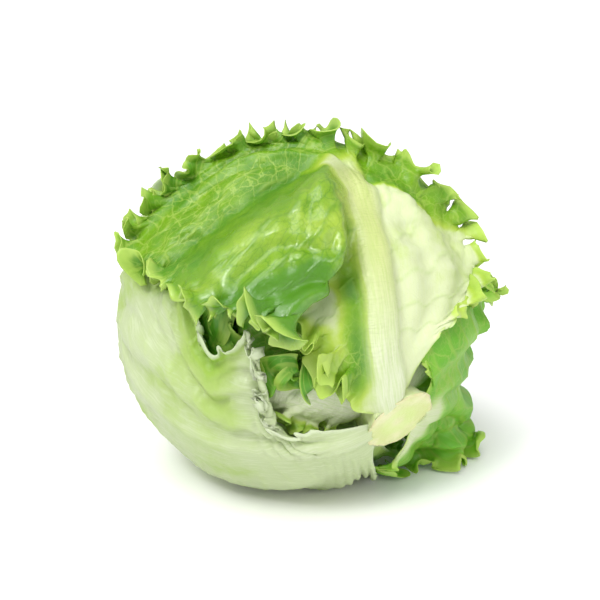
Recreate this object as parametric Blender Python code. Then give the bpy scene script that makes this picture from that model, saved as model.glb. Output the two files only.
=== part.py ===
import math

import bmesh
import bpy
import numpy as np
from mathutils import Vector
from mathutils.bvhtree import BVHTree

MM = 0.001

# Size and stance of the head: it lies on its side with the cut stem facing down and to one side
HEAD_RADIUS = 90 * MM
HEAD_HEIGHT = 86 * MM
SIDE_STRETCH = 0.06
STEM_DIMPLE = 0.07
STEM_DIMPLE_SPREAD = math.radians(24)
VIEW_TILT = math.radians(20)
STEM_OFF_VIEW = math.radians(55)
STEM_TURN = math.radians(-45)
CUT_OFF_VIEW = math.radians(59)
CUT_TURN = math.radians(-54.8)

# Stem and heart
STEM_HALF_ANGLE = math.radians(12.2)
STEM_INNER_REACH = 68 * MM
STEM_CUT_REACH = 86.5 * MM
STEM_SEGMENTS = 40
STEM_EDGE_ROUND = 0.8 * MM
HEART_RADIUS = 81 * MM
HEART_UNDER_STEM = 66 * MM
HEART_SEGMENTS = 44
HEART_RINGS = 24

# Leaf blades
BLADE_THICKNESS = 0.9 * MM
RIB_THICKNESS = 3.2 * MM
LEAF_GAP = 0.5 * MM
TUCK_GAP = 1.1 * MM
SOLE_CUT = 1.0 * MM
CRADLE_RISE = 0.6 * MM
LEAF_RISE = 2.0 * MM
FLOOR_EASE = 2 * MM
RIB_SHARE = 0.8
RIDGE_FROM_EDGE = 26 * MM
RIDGE_WIDTH = 9 * MM
BILLOW_RISE = 16 * MM
BILLOW_HANG = 0.95
BILLOW_SLOPE = 6
BILLOW_END = (86, 99)
BILLOW_LEFT = (-64, -90)
BILLOW_RIGHT = 40
CREST_START = 57
CREST_CLIMB = 62
CREST_TURN = -4
CREST_SPREAD = 12
VALLEY_DEPTH = 6 * MM
VALLEY_PLACE = -3
VALLEY_WIDTH = 6
VALLEY_NEAR = (20, 34)
VALLEY_FAR = (88, 116)
TROUGH_DEPTH = 5 * MM
TROUGH_PLACE = 98
TROUGH_WIDTH = 5
TROUGH_TURN = (-8, -24)
LEAST_SINE = 0.2
EDGE_CUTS = 2
SEAM_WELD = 0.02 * MM
CLEARING_TURNS = 60
CLEARING_STEP = 0.4 * MM
WIDER_EVERY = 12
RIB_SINK = 0.8

# Colours of the plain CAD materials
HEART_COLOUR = (0.60, 0.68, 0.30)
STEM_COLOUR = (0.80, 0.78, 0.50)


def unit(v):
    v = np.asarray(v, float)
    return v / np.maximum(np.linalg.norm(v, axis=-1, keepdims=True), 1e-12)


RIGHT = np.array([1.0, 0.0, 0.0])
UP = np.array([0.0, math.sin(VIEW_TILT), math.cos(VIEW_TILT)])
NEAR = np.array([0.0, -math.cos(VIEW_TILT), math.sin(VIEW_TILT)])


def seen_direction(off_view, turn):
    """A direction given by its angle off the line of sight and its turn in the picture."""
    sideways = math.cos(turn) * RIGHT + math.sin(turn) * UP
    return unit(math.sin(off_view) * sideways + math.cos(off_view) * NEAR)


AXIS = seen_direction(STEM_OFF_VIEW, STEM_TURN)
POLE_UP = unit(UP - UP.dot(AXIS) * AXIS)
POLE_RIGHT = np.cross(POLE_UP, AXIS)
CUT_NORMAL = seen_direction(CUT_OFF_VIEW, CUT_TURN)


def smooth(low, high, x):
    t = np.clip((x - low) / (high - low), 0, 1)
    return t * t * (3 - 2 * t)


def smooth_min(a, b, blend):
    h = np.clip(blend - np.abs(a - b), 0, None) / blend
    return np.minimum(a, b) - h * h * blend / 4


def wobble(x, seed, lengths=(1.0, 0.62, 0.37)):
    """A slow uneven wave between about -1 and 1."""
    rng = np.random.default_rng(seed)
    total = 0
    for k, length in enumerate(lengths):
        total = total + np.sin(2 * np.pi * x / length + rng.uniform(0, 2 * np.pi)) / (k + 1)
    return total / 1.6


def random_waves(p, seed, length, count=7):
    """Soft bumps in space, about this far apart."""
    rng = np.random.default_rng(seed)
    total = 0
    for _ in range(count):
        k = unit(rng.normal(size=3)) * 2 * np.pi / (length * rng.uniform(0.75, 1.35))
        total = total + np.sin(p @ k + rng.uniform(0, 2 * np.pi))
    return total / math.sqrt(count) * 0.8


def polar(theta, phi):
    """Direction at theta degrees from the stem and phi degrees round it, 0 being up in the picture."""
    theta = np.radians(theta)[..., None]
    phi = np.radians(phi)[..., None]
    return np.cos(theta) * AXIS + np.sin(theta) * (np.cos(phi) * POLE_UP + np.sin(phi) * POLE_RIGHT)


def angles(d):
    theta = np.degrees(np.arccos(np.clip(d @ AXIS, -1, 1)))
    return theta, np.degrees(np.arctan2(d @ POLE_RIGHT, d @ POLE_UP))


def envelope(d):
    """How far the outside of the head is from its middle."""
    theta = np.arccos(np.clip(d @ AXIS, -1, 1))
    dimple = STEM_DIMPLE * np.exp(-((theta / STEM_DIMPLE_SPREAD) ** 2))
    side = SIDE_STRETCH * np.minimum(d @ RIGHT, 0) ** 2
    floor = HEAD_HEIGHT / np.maximum(-d[..., 2], 0.05)
    return smooth_min(HEAD_RADIUS * (1 - dimple) * (1 + side), floor, 5 * MM)


def grounded(p, rise):
    """Points eased up so that none is lower than rise over the floor."""
    low = rise - HEAD_HEIGHT
    z = p[..., 2]
    eased_z = low + FLOOR_EASE * np.exp(np.minimum(z - low - FLOOR_EASE, 0) / FLOOR_EASE)
    z = np.where(z < low + FLOOR_EASE, eased_z, z)
    return np.concatenate([p[..., :2], z[..., None]], -1)


def spline(points, t):
    """A smooth curve through points, evenly paced, at t from 0 to 1."""
    gaps = np.linalg.norm(np.diff(points[:, :3], axis=0), axis=1)
    knots = np.concatenate([[0], np.cumsum(gaps)]) / gaps.sum()
    rates = np.diff(points, axis=0) / np.diff(knots)[:, None]
    slopes = np.vstack([rates[:1], (rates[1:] + rates[:-1]) / 2, rates[-1:]])
    t = np.clip(t, 0, 1)
    k = np.clip(np.searchsorted(knots, t) - 1, 0, len(knots) - 2)
    width = (knots[k + 1] - knots[k])[..., None]
    u = (t - knots[k])[..., None] / width
    start = points[k] * (1 + 2 * u) * (1 - u) ** 2 + slopes[k] * width * u * (1 - u) ** 2
    end = points[k + 1] * u * u * (3 - 2 * u) + slopes[k + 1] * width * u * u * (u - 1)
    return start + end


def polar_points(rows):
    """Rows of theta, phi and, where given, lift in millimetres, as directions with their lift."""
    a = np.array(rows, float)
    lift = a[:, 2:] if a.shape[1] > 2 else np.zeros((len(a), 1))
    return np.hstack([polar(a[:, 0], a[:, 1]), lift * MM])


class Leaf:
    """A blade over x, from left edge (-1) past the rib (0) to right edge (1), and y, from base to tip."""

    def __init__(self, name, seed, colour, rib, left, right, depth, tip_depth, **more):
        self.name = name
        self.seed = seed
        self.colour = colour
        self.rib_points = polar_points(rib)
        self.edge_points = {-1: polar_points(left), 1: polar_points(right)}
        self.depth = depth * MM
        self.tip_depth = tip_depth * MM
        self.flare_reach = more.get("flare_reach", 30) * MM
        self.frill = more.get("frill", 4.5) * MM
        self.frill_wave = more.get("frill_wave", 17) * MM
        self.lobe = more.get("lobe", 2.5) * MM
        self.frilled = more.get("frilled", (1.0, 1.0))
        self.ridges = more.get("ridges", (0.0, 0.0))
        self.rib_rise = more.get("rib_rise", 2) * MM
        self.rib_width = more.get("rib_width", 7) * MM
        self.rise = more.get("rise", LEAF_RISE)
        self.undulation = more.get("undulation", 1.4) * MM
        self.rows = more.get("rows", 24)
        self.columns = more.get("columns", (0.0, 0.3, 0.6, 0.86, 1.0))
        self.shape = more.get("shape")
        line = unit(spline(self.rib_points, np.linspace(0, 1, 200))[:, :3])
        self.rib_length = np.linalg.norm(np.diff(line, axis=0), axis=1).sum() * HEAD_RADIUS
        self.steps = np.linspace(0, 1, 400)
        self.edge_lengths = {side: self.edge_walk(side) for side in (-1, 1)}

    def edge_walk(self, side):
        line = unit(spline(self.edge_points[side], self.steps)[:, :3]) * HEAD_RADIUS
        return np.concatenate([[0], np.cumsum(np.linalg.norm(np.diff(line, axis=0), axis=1))])

    def frame(self, x, y):
        """Direction, place along and across the rib, width of the blade there, and lift of its edge."""
        p = np.abs(x)
        s_rib = RIB_SHARE * y**1.05
        rib = unit(spline(self.rib_points, s_rib)[..., :3])
        ahead = unit(spline(self.rib_points, np.minimum(s_rib + 2e-3, 1))[..., :3])
        behind = unit(spline(self.rib_points, np.maximum(s_rib - 2e-3, 0))[..., :3])
        along = unit(ahead - behind)
        left = spline(self.edge_points[-1], y)
        right = spline(self.edge_points[1], y)
        edge = np.where((x < 0)[..., None], left, right)
        lift = edge[..., 3]
        edge = unit(edge[..., :3])
        span = np.arccos(np.clip(np.sum(rib * edge, -1), -1, 1))
        wide = np.maximum(np.sin(span), 1e-6)
        share = (np.sin((1 - p) * span) / wide)[..., None]
        d = unit(share * rib + (np.sin(p * span) / wide)[..., None] * edge)
        across = np.cross(along, rib)
        b = np.arcsin(np.clip(np.sum(d * across, -1), -1, 1)) * HEAD_RADIUS
        s = s_rib + np.sum(d * along, -1) * HEAD_RADIUS / self.rib_length
        return d, s, b, span, lift

    def along_edge(self, x, y):
        left = np.interp(y, self.steps, self.edge_lengths[-1])
        right = np.interp(y, self.steps, self.edge_lengths[1])
        whole = self.edge_lengths[-1][-1] + self.edge_lengths[1][-1]
        return np.where(x < 0, left, whole - right)

    def from_edge(self, x, y):
        span = self.frame(x, y)[3]
        return (1 - np.abs(x)) * np.maximum(span, math.radians(6)) * HEAD_RADIUS * 0.85

    def skin(self, x, y):
        """The blade without its frills."""
        d, s, b, span, lift = self.frame(x, y)
        length = np.clip(s, 0, 1)
        reach = envelope(d) - self.depth - (self.tip_depth - self.depth) * length
        from_edge = self.from_edge(x, y)
        near_edge = np.clip(1 - from_edge / self.flare_reach, 0, 1)
        bumps = random_waves(d * HEAD_RADIUS, self.seed, 48 * MM) * smooth(0.1, 0.3, s)
        ridge = self.sided(self.ridges, x, y) * MM * smooth(0.2, 0.45, y)
        ridge = ridge * np.exp(-(((from_edge - RIDGE_FROM_EDGE) / RIDGE_WIDTH) ** 2))
        reach = reach + lift * near_edge**2 + ridge + self.undulation * bumps
        reach = reach + self.rib_rise * self.rib_profile(s, b)
        p = d * reach[..., None]
        if self.shape:
            p = self.shape(p, d)
        return grounded(p, self.rise)

    def sided(self, values, x, y):
        """A value given for each half of the blade, the same for both at the tip where they meet."""
        shared = sum(values) / 2
        return shared + (np.where(x < 0, *values) - shared) * (1 - smooth(0.75, 0.97, y))

    def rib_profile(self, s, b):
        """1 on the flat back of the rib and 0 beside it, fading out towards the tip."""
        wide = self.rib_width * (1 - 0.35 * np.clip(s, 0, 1))
        return np.exp(-((b / wide) ** 4)) * (1 - smooth(0.45, 0.95, s))

    def normal(self, x, y, step=2e-3):
        across = np.where(x > 0.99, -step, step)
        along = np.where(y > 0.9, -step, step)
        p = self.skin(x, y)
        du = (self.skin(x + across, y) - p) / across[..., None]
        dv = (self.skin(x, y + along) - p) / along[..., None]
        at_tip = smooth(0.8, 1, y)[..., None]
        return unit(unit(np.cross(du, dv)) * (1 - at_tip) + unit(p) * at_tip)

    def waved(self, x, y):
        """The blade with frills along its edge."""
        p = self.skin(x, y)
        n = self.normal(x, y)
        out = unit(p - self.skin(x * 0.97, y) + 1e-9)
        ell = self.along_edge(x, y)
        span = self.frame(x, y)[3] * HEAD_RADIUS
        edge = self.from_edge(x, y)
        uneven = ell + 6 * MM * wobble(ell / (90 * MM), self.seed + 3)
        phase = 2 * np.pi * uneven / self.frill_wave
        reach = np.minimum(24 * MM, 0.8 * span + 1e-6)
        size = np.minimum(self.frill, 0.3 * span) * smooth(0.08, 0.3, y) * self.sided(self.frilled, x, y)
        size = size * np.clip(1 - edge / reach, 0, 1) ** 1.6
        size = size * (1 + 0.4 * wobble(ell / (60 * MM), self.seed + 5))
        lobes = np.minimum(self.lobe, 0.08 * span) * np.clip(1 - edge / (0.6 * reach), 0, 1)
        p = p + (size * (np.sin(phase) + 0.45))[..., None] * n
        p = p + (lobes * np.sin(phase + 2.2))[..., None] * out
        return grounded(p, self.rise)

    def rib_over(self, x, y):
        """How much the rib adds outside the blade."""
        d, s, b, span, lift = self.frame(x, y)
        return RIB_THICKNESS * self.rib_profile(s, b) * (1 - smooth(0.05, 0.75, s))


def billow(p, d):
    """The left half of the top leaf bellies out and overhangs the rib, with a valley before and behind it."""
    theta, phi = angles(d)
    rise = np.exp((phi - CREST_TURN) / CREST_SPREAD)
    border = CREST_START + CREST_CLIMB * rise
    slope = CREST_CLIMB / CREST_SPREAD * rise
    past = (theta - border) / np.sqrt(1 + slope**2)
    side = (1 - smooth(*BILLOW_LEFT, phi)) * (phi < BILLOW_RIGHT)
    belly = BILLOW_RISE * smooth(0, BILLOW_SLOPE, past) * (1 - smooth(*BILLOW_END, theta)) * side
    valley = VALLEY_DEPTH * np.exp(-(((past - VALLEY_PLACE) / VALLEY_WIDTH) ** 2)) * side
    valley = valley * smooth(*VALLEY_NEAR, theta) * (1 - smooth(*VALLEY_FAR, theta))
    behind = TROUGH_DEPTH * np.exp(-(((theta - TROUGH_PLACE) / TROUGH_WIDTH) ** 2))
    behind = behind * smooth(*TROUGH_TURN, phi)
    back = unit(np.cross(np.cross(d, AXIS), d))
    around = unit(np.cross(AXIS, d) + 1e-12)
    turning = (slope / np.maximum(np.sin(np.radians(theta)), LEAST_SINE))[..., None]
    downhill = unit(back + turning * around)
    return p + (belly - valley - behind)[..., None] * d + (BILLOW_HANG * belly)[..., None] * downhill


# Leaves from the outside in. Rows of points run from base to tip: degrees from the stem, degrees round
# it and, on the edges, millimetres that the edge lifts.
CROWN = Leaf(
    "leaf_crown", 11, (0.36, 0.60, 0.12),
    rib=[(14.2, -46), (31, -36), (46, -27), (62, -19), (77, -13), (91, -11), (102, -20), (112, -44),
         (118, -80)],
    left=[(14.2, -80, 0), (22, -80, 2), (30, -69, 4), (40, -64, 5), (47, -60, 6), (53, -62, 8), (59, -66, 9),
          (65, -64, 9), (70, -66, 8), (74, -71, 8), (79, -75, 8), (85, -77, 9), (93, -79, 9), (101, -83, 9),
          (109, -86, 10), (114, -86, 10), (118, -80, 10)],
    right=[(14.2, -6, 0), (20, -8, 2), (27, 0, 4), (34, 9, 6), (44, 26, 8), (54, 36, 9), (64, 39, 10),
           (76, 32, 12), (86, 18, 13), (95, 6, 13), (104, -6, 13), (113, -20, 12), (120, -36, 11),
           (123, -54, 11), (122, -70, 10), (118, -80, 10)],
    depth=1, tip_depth=3, flare_reach=32, frill=5.5, rib_rise=2.5, rib_width=9.5, ridges=(0, 4.5), rows=34,
    columns=(0.0, 0.12, 0.25, 0.38, 0.52, 0.66, 0.8, 0.91, 1.0), shape=billow,
)
CRADLE = Leaf(
    "leaf_cradle", 23, (0.62, 0.70, 0.40),
    rib=[(14.2, -122), (35, -120), (60, -122), (90, -120), (120, -112), (145, -100)],
    left=[(14.2, -160, 0), (18, -182, 1), (26, -198, 2), (42, -212, 3), (62, -220, 4), (82, -218, 5),
          (102, -208, 5), (121, -188, 5), (137, -156, 5), (146, -124, 5), (145, -100, 5)],
    right=[(14.2, -100, 0), (23, -101, 1), (32, -102, 2), (39, -106, 3), (45, -102, 4), (49, -93, 5),
           (54, -82, 6), (59, -77, 7), (64, -80, 6), (70, -86, 4), (76, -83, 3), (84, -78, 2), (95, -70, 2),
           (110, -66, 2), (125, -68, 3), (138, -80, 4), (145, -100, 5)],
    depth=0.5, tip_depth=3, flare_reach=20, frill=2.6, lobe=1, frilled=(0.3, 1.0), rise=CRADLE_RISE, rows=28,
)
SKIRT = Leaf(
    "leaf_skirt", 31, (0.30, 0.55, 0.10),
    rib=[(14.2, 80), (30, 90), (50, 97), (75, 95), (97, 93)],
    left=[(14.2, 42, 0), (16, 27, 0), (19, 10, 1), (23, -4, 3), (29, -8, 4), (40, 5, 8), (51, 26, 11),
          (60, 45, 12), (70, 60, 12), (80, 72, 12), (90, 82, 12), (97, 93, 11)],
    right=[(14.2, 119, 0), (17, 142, 1), (24, 160, 3), (38, 154, 6), (50, 138, 9), (50, 130, 15),
           (48, 122, 26), (51, 115, 36), (60, 112, 37), (72, 112, 31), (85, 108, 22), (94, 101, 15),
           (97, 93, 11)],
    depth=-2, tip_depth=2, flare_reach=44, frill=5.5, rows=26,
)
SHOULDER = Leaf(
    "leaf_shoulder", 53, (0.42, 0.62, 0.20),
    rib=[(14.2, 30), (45, 38), (90, 42), (130, 42), (160, 38), (178, 20), (166, -140)],
    left=[(14.2, 10, 0), (25, -6, 0), (45, -14, 1), (80, -26, 3), (110, -42, 5), (134, -64, 6),
          (148, -92, 8), (158, -118, 8), (166, -140, 8)],
    right=[(14.2, 50, 0), (25, 72, 2), (45, 94, 3), (80, 104, 4), (112, 108, 5), (136, 120, 6), (150, 146, 8),
           (160, 184, 8), (166, 220, 8)],
    depth=8, tip_depth=6, frill=4.5,
)
BACK = Leaf(
    "leaf_back", 61, (0.42, 0.62, 0.20),
    rib=[(14.2, -178), (50, -170), (95, -168), (135, -170), (170, -150)],
    left=[(14.2, -196, 0), (25, -216, 1), (42, -232, 2), (72, -244, 4), (102, -250, 5), (128, -256, 6),
          (148, -264, 7), (160, -254, 8), (167, -225, 8), (170, -190, 8), (170, -150, 8)],
    right=[(14.2, -162, 0), (40, -136, 1), (75, -112, 2), (110, -98, 4), (140, -88, 6), (158, -88, 8),
           (167, -112, 8), (170, -150, 8)],
    depth=6, tip_depth=5, frill=4.5,
)
INNER = Leaf(
    "leaf_inner", 73, (0.18, 0.42, 0.08),
    rib=[(14.2, -55), (40, -52), (66, -58), (88, -68)],
    left=[(14.2, -68, 0), (23, -72, 2), (33, -73, 5), (41, -77, 8), (46, -85, 9), (52, -92, 9), (59, -95, 9),
          (67, -95, 9), (76, -89, 7), (84, -79, 6), (88, -68, 6)],
    right=[(14.2, -42, 0), (30, -32, 2), (45, -27, 4), (62, -28, 5), (78, -42, 6), (88, -68, 6)],
    depth=7, tip_depth=9, flare_reach=22, frill=5.5, frill_wave=15, lobe=3,
)
WINDOW = Leaf(
    "leaf_window", 43, (0.55, 0.66, 0.32),
    rib=[(14.2, -86), (24, -85), (35, -86), (48, -89), (62, -90), (76, -86)],
    left=[(14.2, -112, 0), (24, -118, 1), (31, -118, 2), (37, -112, 5), (42, -107, 6), (47, -108, 4),
          (55, -112, 4), (63, -110, 6), (72, -100, 7), (76, -86, 7)],
    right=[(14.2, -80, 0), (24, -68, 0), (36, -58, 1), (50, -54, 3), (64, -58, 6), (73, -68, 7),
           (76, -86, 7)],
    depth=12, tip_depth=14, flare_reach=20, frill=5, frill_wave=15, rib_rise=3, rib_width=15,
)
LEAVES = (CROWN, CRADLE, SKIRT, BACK, SHOULDER, INNER, WINDOW)


class Ceiling:
    """How far from the middle of the head a leaf may reach under the leaves laid over it."""

    ROWS, COLUMNS, OPEN, SLOPE = 90, 120, 0.3, 1.1

    def __init__(self):
        self.reach = np.full((self.ROWS, self.COLUMNS), self.OPEN)

    def cover(self, p):
        r = np.linalg.norm(p, axis=1)
        theta, phi = angles(p / r[:, None])
        i = np.clip((theta / 180 * self.ROWS).astype(int), 0, self.ROWS - 1)
        j = ((phi + 180) / 360 * self.COLUMNS).astype(int) % self.COLUMNS
        np.minimum.at(self.reach, (i, j), r)
        down = math.pi / self.ROWS * HEAD_RADIUS * self.SLOPE
        middle = (np.arange(self.ROWS) + 0.5) / self.ROWS * math.pi
        around = (2 * math.pi / self.COLUMNS * HEAD_RADIUS * np.sin(middle) * self.SLOPE)[:, None]
        for _ in range(self.ROWS // 2):
            c = self.reach
            c = np.minimum(c, np.minimum(np.roll(c, 1, 1), np.roll(c, -1, 1)) + around)
            above = np.vstack([c[1:], c[-1:]])
            below = np.vstack([c[:1], c[:-1]])
            self.reach = np.minimum(c, np.minimum(above, below) + down)

    def over(self, p):
        r = np.linalg.norm(p, axis=-1)
        theta, phi = angles(p / r[..., None])
        u = np.clip(theta / 180 * self.ROWS - 0.5, 0, self.ROWS - 1.001)
        v = ((phi + 180) / 360 * self.COLUMNS - 0.5) % self.COLUMNS
        i = u.astype(int)
        j = v.astype(int) % self.COLUMNS
        k = (j + 1) % self.COLUMNS
        du = u - i
        dv = v - np.floor(v)
        c = self.reach
        near_row = c[i, j] * (1 - dv) + c[i, k] * dv
        far_row = c[i + 1, j] * (1 - dv) + c[i + 1, k] * dv
        return near_row * (1 - du) + far_row * du

    def tuck(self, p, gap):
        r = np.linalg.norm(p, axis=-1)
        return p * (smooth_min(r, self.over(p) - gap, 2 * MM) / r)[..., None]


def chart_mesh(leaf):
    """A flat grid over x and y with more corners along its edges, split into triangles."""
    bm = bmesh.new()
    columns = len(leaf.columns) - 1
    bmesh.ops.create_grid(bm, x_segments=2 * columns, y_segments=leaf.rows, size=1)
    for v in bm.verts:
        k = round(abs(v.co.x) * columns)
        v.co.x = math.copysign(leaf.columns[k], v.co.x) if k else 0.0
        v.co.y = (v.co.y + 1) / 2
    for place, cuts in ((1.0, EDGE_CUTS), (leaf.columns[-2], 1)):
        chosen = []
        for e in bm.edges:
            a, b = e.verts
            if abs(abs(a.co.x) - place) < 1e-5 and abs(a.co.x - b.co.x) < 1e-5:
                chosen.append(e)
        bmesh.ops.subdivide_edges(bm, edges=chosen, cuts=cuts)
    cells = bm.faces[:]
    for f in cells:
        middle = sum(v.co.x for v in f.verts) / len(f.verts)
        left = sorted((v for v in f.verts if v.co.x < middle), key=lambda v: v.co.y)
        right = sorted((v for v in f.verts if v.co.x >= middle), key=lambda v: v.co.y)
        while len(left) > 1 or len(right) > 1:
            step_left = len(right) == 1 or (len(left) > 1 and left[1].co.y < right[1].co.y - 1e-5)
            bm.faces.new((left[0], right[0], left[1] if step_left else right[1]))
            (left if step_left else right).pop(0)
    bmesh.ops.delete(bm, geom=cells, context="FACES_ONLY")
    bm.verts.index_update()
    return bm


def points_of(bm):
    return np.array([v.co[:] for v in bm.verts])


def place(bm, points):
    for v, p in zip(bm.verts, points):
        v.co = p


def corner_normals(points, triangles):
    a, b, c = (points[triangles[:, k]] for k in range(3))
    faces = np.cross(b - a, c - a)
    normals = np.zeros_like(points)
    for k in range(3):
        np.add.at(normals, triangles[:, k], faces)
    return unit(normals)


def doubled(bm):
    """The blade doubled and joined round its edge: which corner each new one came from, and its side."""
    source = bm.verts.layers.int.new("source")
    side = bm.verts.layers.int.new("side")
    for v in bm.verts:
        v[source] = v.index
    made = bmesh.ops.extrude_face_region(bm, geom=bm.faces[:], use_keep_orig=True)
    bm.normal_update()
    for g in made["geom"]:
        if isinstance(g, bmesh.types.BMVert):
            g[side] = 1
    return source, side


def face_out(bm):
    bmesh.ops.recalc_face_normals(bm, faces=bm.faces[:])
    if bm.calc_volume(signed=True) < 0:
        bmesh.ops.reverse_faces(bm, faces=bm.faces[:])


def neighbours_of(triangles, count):
    around = [set() for _ in range(count)]
    for a, b, c in triangles:
        around[a].update((b, c))
        around[b].update((a, c))
        around[c].update((a, b))
    return [sorted(n) for n in around]


def too_near(points, faces, tree, done):
    """Corners of a body that cross a piece already built, or come within the gap of it."""
    near = set()
    for other in done:
        for face, _ in tree.overlap(other):
            near.update(faces[face])
        for i, p in enumerate(points):
            if other.find_nearest(Vector(p), LEAF_GAP)[0] is not None:
                near.add(i)
    return near


def pushed_in(points, around, near):
    """These points moved a step towards the middle of the head, and those round them half a step."""
    push = np.zeros(len(points))
    for i in near:
        push[around[i]] = np.maximum(push[around[i]], 0.5)
    push[list(near)] = 1
    return points - unit(points) * (push * CLEARING_STEP)[:, None]


def eased(points, around, folded, spread):
    """Points of a fold, and those up to spread edges round it, drawn towards their neighbours."""
    for _ in range(spread):
        folded = folded.union(*(around[i] for i in folded))
    moved = points.copy()
    for i in folded:
        moved[i] = (points[i] + points[around[i]].mean(axis=0)) / 2
    return moved


def open_blade(leaf, ceiling, done):
    """The blade's middle surface, tucked under the pieces over it, with the rib's thickness there."""
    bm = chart_mesh(leaf)
    chart = points_of(bm)
    x = np.clip(chart[:, 0], -1, 1)
    y = np.clip(chart[:, 1], 0, 1)
    points = leaf.waved(x, y)
    rib = leaf.rib_over(x, y)
    if done:
        points = points - unit(points) * (RIB_SINK * rib)[:, None]
        points = ceiling.tuck(points, TUCK_GAP + BLADE_THICKNESS / 2)
    place(bm, points)
    layer = bm.verts.layers.float.new("rib")
    for v, r in zip(bm.verts, rib):
        v[layer] = r
    bmesh.ops.remove_doubles(bm, verts=bm.verts[:], dist=SEAM_WELD)
    bmesh.ops.recalc_face_normals(bm, faces=bm.faces[:])
    if sum(f.normal.dot(f.calc_center_median()) * f.calc_area() for f in bm.faces) < 0:
        bmesh.ops.reverse_faces(bm, faces=bm.faces[:])
    bm.verts.index_update()
    return bm, np.array([v[layer] for v in bm.verts])


def built_leaf(leaf, ceiling, done):
    """The leaf as a closed solid that keeps clear of itself and of the pieces already built."""
    bm, rib = open_blade(leaf, ceiling, done)
    points = points_of(bm)
    middle = np.array([[v.index for v in f.verts] for f in bm.faces])
    around = neighbours_of(middle, len(points))
    source, side = doubled(bm)
    bm.verts.index_update()
    source = np.array([v[source] for v in bm.verts])
    outer = np.array([v[side] for v in bm.verts]) == 1
    thick = np.where(outer, BLADE_THICKNESS / 2 + rib[source], -BLADE_THICKNESS / 2)
    sole = leaf.rise + SOLE_CUT - HEAD_HEIGHT + np.where(outer, 0, BLADE_THICKNESS)
    place(bm, points[source] + corner_normals(points, middle)[source] * thick[:, None])
    bmesh.ops.triangulate(bm, faces=bm.faces[:])
    face_out(bm)
    faces = [tuple(v.index for v in f.verts) for f in bm.faces]
    corners = [frozenset(f) for f in faces]
    for turn in range(CLEARING_TURNS):
        solid = points[source] + corner_normals(points, middle)[source] * thick[:, None]
        solid[:, 2] = np.maximum(solid[:, 2], sole)
        tree = BVHTree.FromPolygons(solid.tolist(), faces)
        folded = set()
        for a, b in tree.overlap(tree):
            if a < b and not corners[a] & corners[b]:
                folded.update(source[list(corners[a] | corners[b])])
        near = {source[i] for i in too_near(solid, faces, tree, done)}
        if not folded and not near:
            break
        points = eased(points, around, folded, 1 + turn // WIDER_EVERY)
        points = pushed_in(points, around, near)
    place(bm, solid)
    return bm


def solid_points(bm):
    """Corners, edge middles and face middles, to lay a ceiling from."""
    rows = [v.co[:] for v in bm.verts]
    rows += [((e.verts[0].co + e.verts[1].co) / 2)[:] for e in bm.edges]
    rows += [f.calc_center_median()[:] for f in bm.faces]
    return np.array(rows)


def finish(name, bm, colour, roughness):
    mesh = bpy.data.meshes.new(name)
    bm.to_mesh(mesh)
    bm.free()
    material = bpy.data.materials.new(name)
    material.use_nodes = True
    shader = material.node_tree.nodes["Principled BSDF"]
    shader.inputs["Base Color"].default_value = (*colour, 1)
    shader.inputs["Roughness"].default_value = roughness
    mesh.materials.append(material)
    ob = bpy.data.objects.new(name, mesh)
    bpy.context.scene.collection.objects.link(ob)
    return ob


def stem_mesh():
    """A cone of stem with a slanting cut and a slightly rounded rim."""
    bm = bmesh.new()
    outer = STEM_CUT_REACH + 20 * MM
    length = outer - STEM_INNER_REACH
    turn = Vector(AXIS).to_track_quat("Z", "Y").to_matrix().to_4x4()
    turn.translation = Vector(AXIS * (outer + STEM_INNER_REACH) / 2)
    bmesh.ops.create_cone(
        bm, cap_ends=True, segments=STEM_SEGMENTS, depth=length, matrix=turn,
        radius1=STEM_INNER_REACH * math.tan(STEM_HALF_ANGLE), radius2=outer * math.tan(STEM_HALF_ANGLE),
    )
    cut = bmesh.ops.bisect_plane(
        bm, geom=bm.verts[:] + bm.edges[:] + bm.faces[:], plane_co=AXIS * STEM_CUT_REACH,
        plane_no=CUT_NORMAL, clear_outer=True,
    )
    rim = [g for g in cut["geom_cut"] if isinstance(g, bmesh.types.BMEdge)]
    bmesh.ops.contextual_create(bm, geom=rim)
    bmesh.ops.recalc_face_normals(bm, faces=bm.faces[:])
    middle = Vector(AXIS * STEM_CUT_REACH)
    rim = [e for e in bm.edges if all((v.co - middle).dot(CUT_NORMAL) > -1e-6 for v in e.verts)]
    bmesh.ops.bevel(bm, geom=rim, offset=STEM_EDGE_ROUND, segments=2, affect="EDGES", profile=0.5)
    bmesh.ops.triangulate(bm, faces=bm.faces[:])
    return bm


def heart_mesh(ceiling):
    """The packed middle of the head, kept under the leaves round it."""
    bm = bmesh.new()
    bmesh.ops.create_uvsphere(bm, u_segments=HEART_SEGMENTS, v_segments=HEART_RINGS, radius=1)
    d = points_of(bm)
    turn = np.column_stack([np.cross(POLE_UP, AXIS), POLE_UP, AXIS])
    d = unit(d @ turn.T)
    theta, phi = angles(d)
    open_reach = HEART_RADIUS + (HEART_UNDER_STEM - HEART_RADIUS) * (1 - smooth(17, 34, theta))
    points = d * open_reach[:, None]
    points = ceiling.tuck(points, TUCK_GAP)
    points = grounded(points, 3 * MM)
    place(bm, points)
    bmesh.ops.triangulate(bm, faces=bm.faces[:])
    face_out(bm)
    return bm


def cleared(bm, done):
    """A round body drawn in wherever it comes near a piece already built."""
    points = points_of(bm)
    faces = [tuple(v.index for v in f.verts) for f in bm.faces]
    around = neighbours_of(faces, len(points))
    for _ in range(CLEARING_TURNS):
        near = too_near(points, faces, BVHTree.FromPolygons(points.tolist(), faces), done)
        if not near:
            break
        points = pushed_in(points, around, near)
    place(bm, points)


for old in list(bpy.data.objects):
    bpy.data.objects.remove(old)

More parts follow.
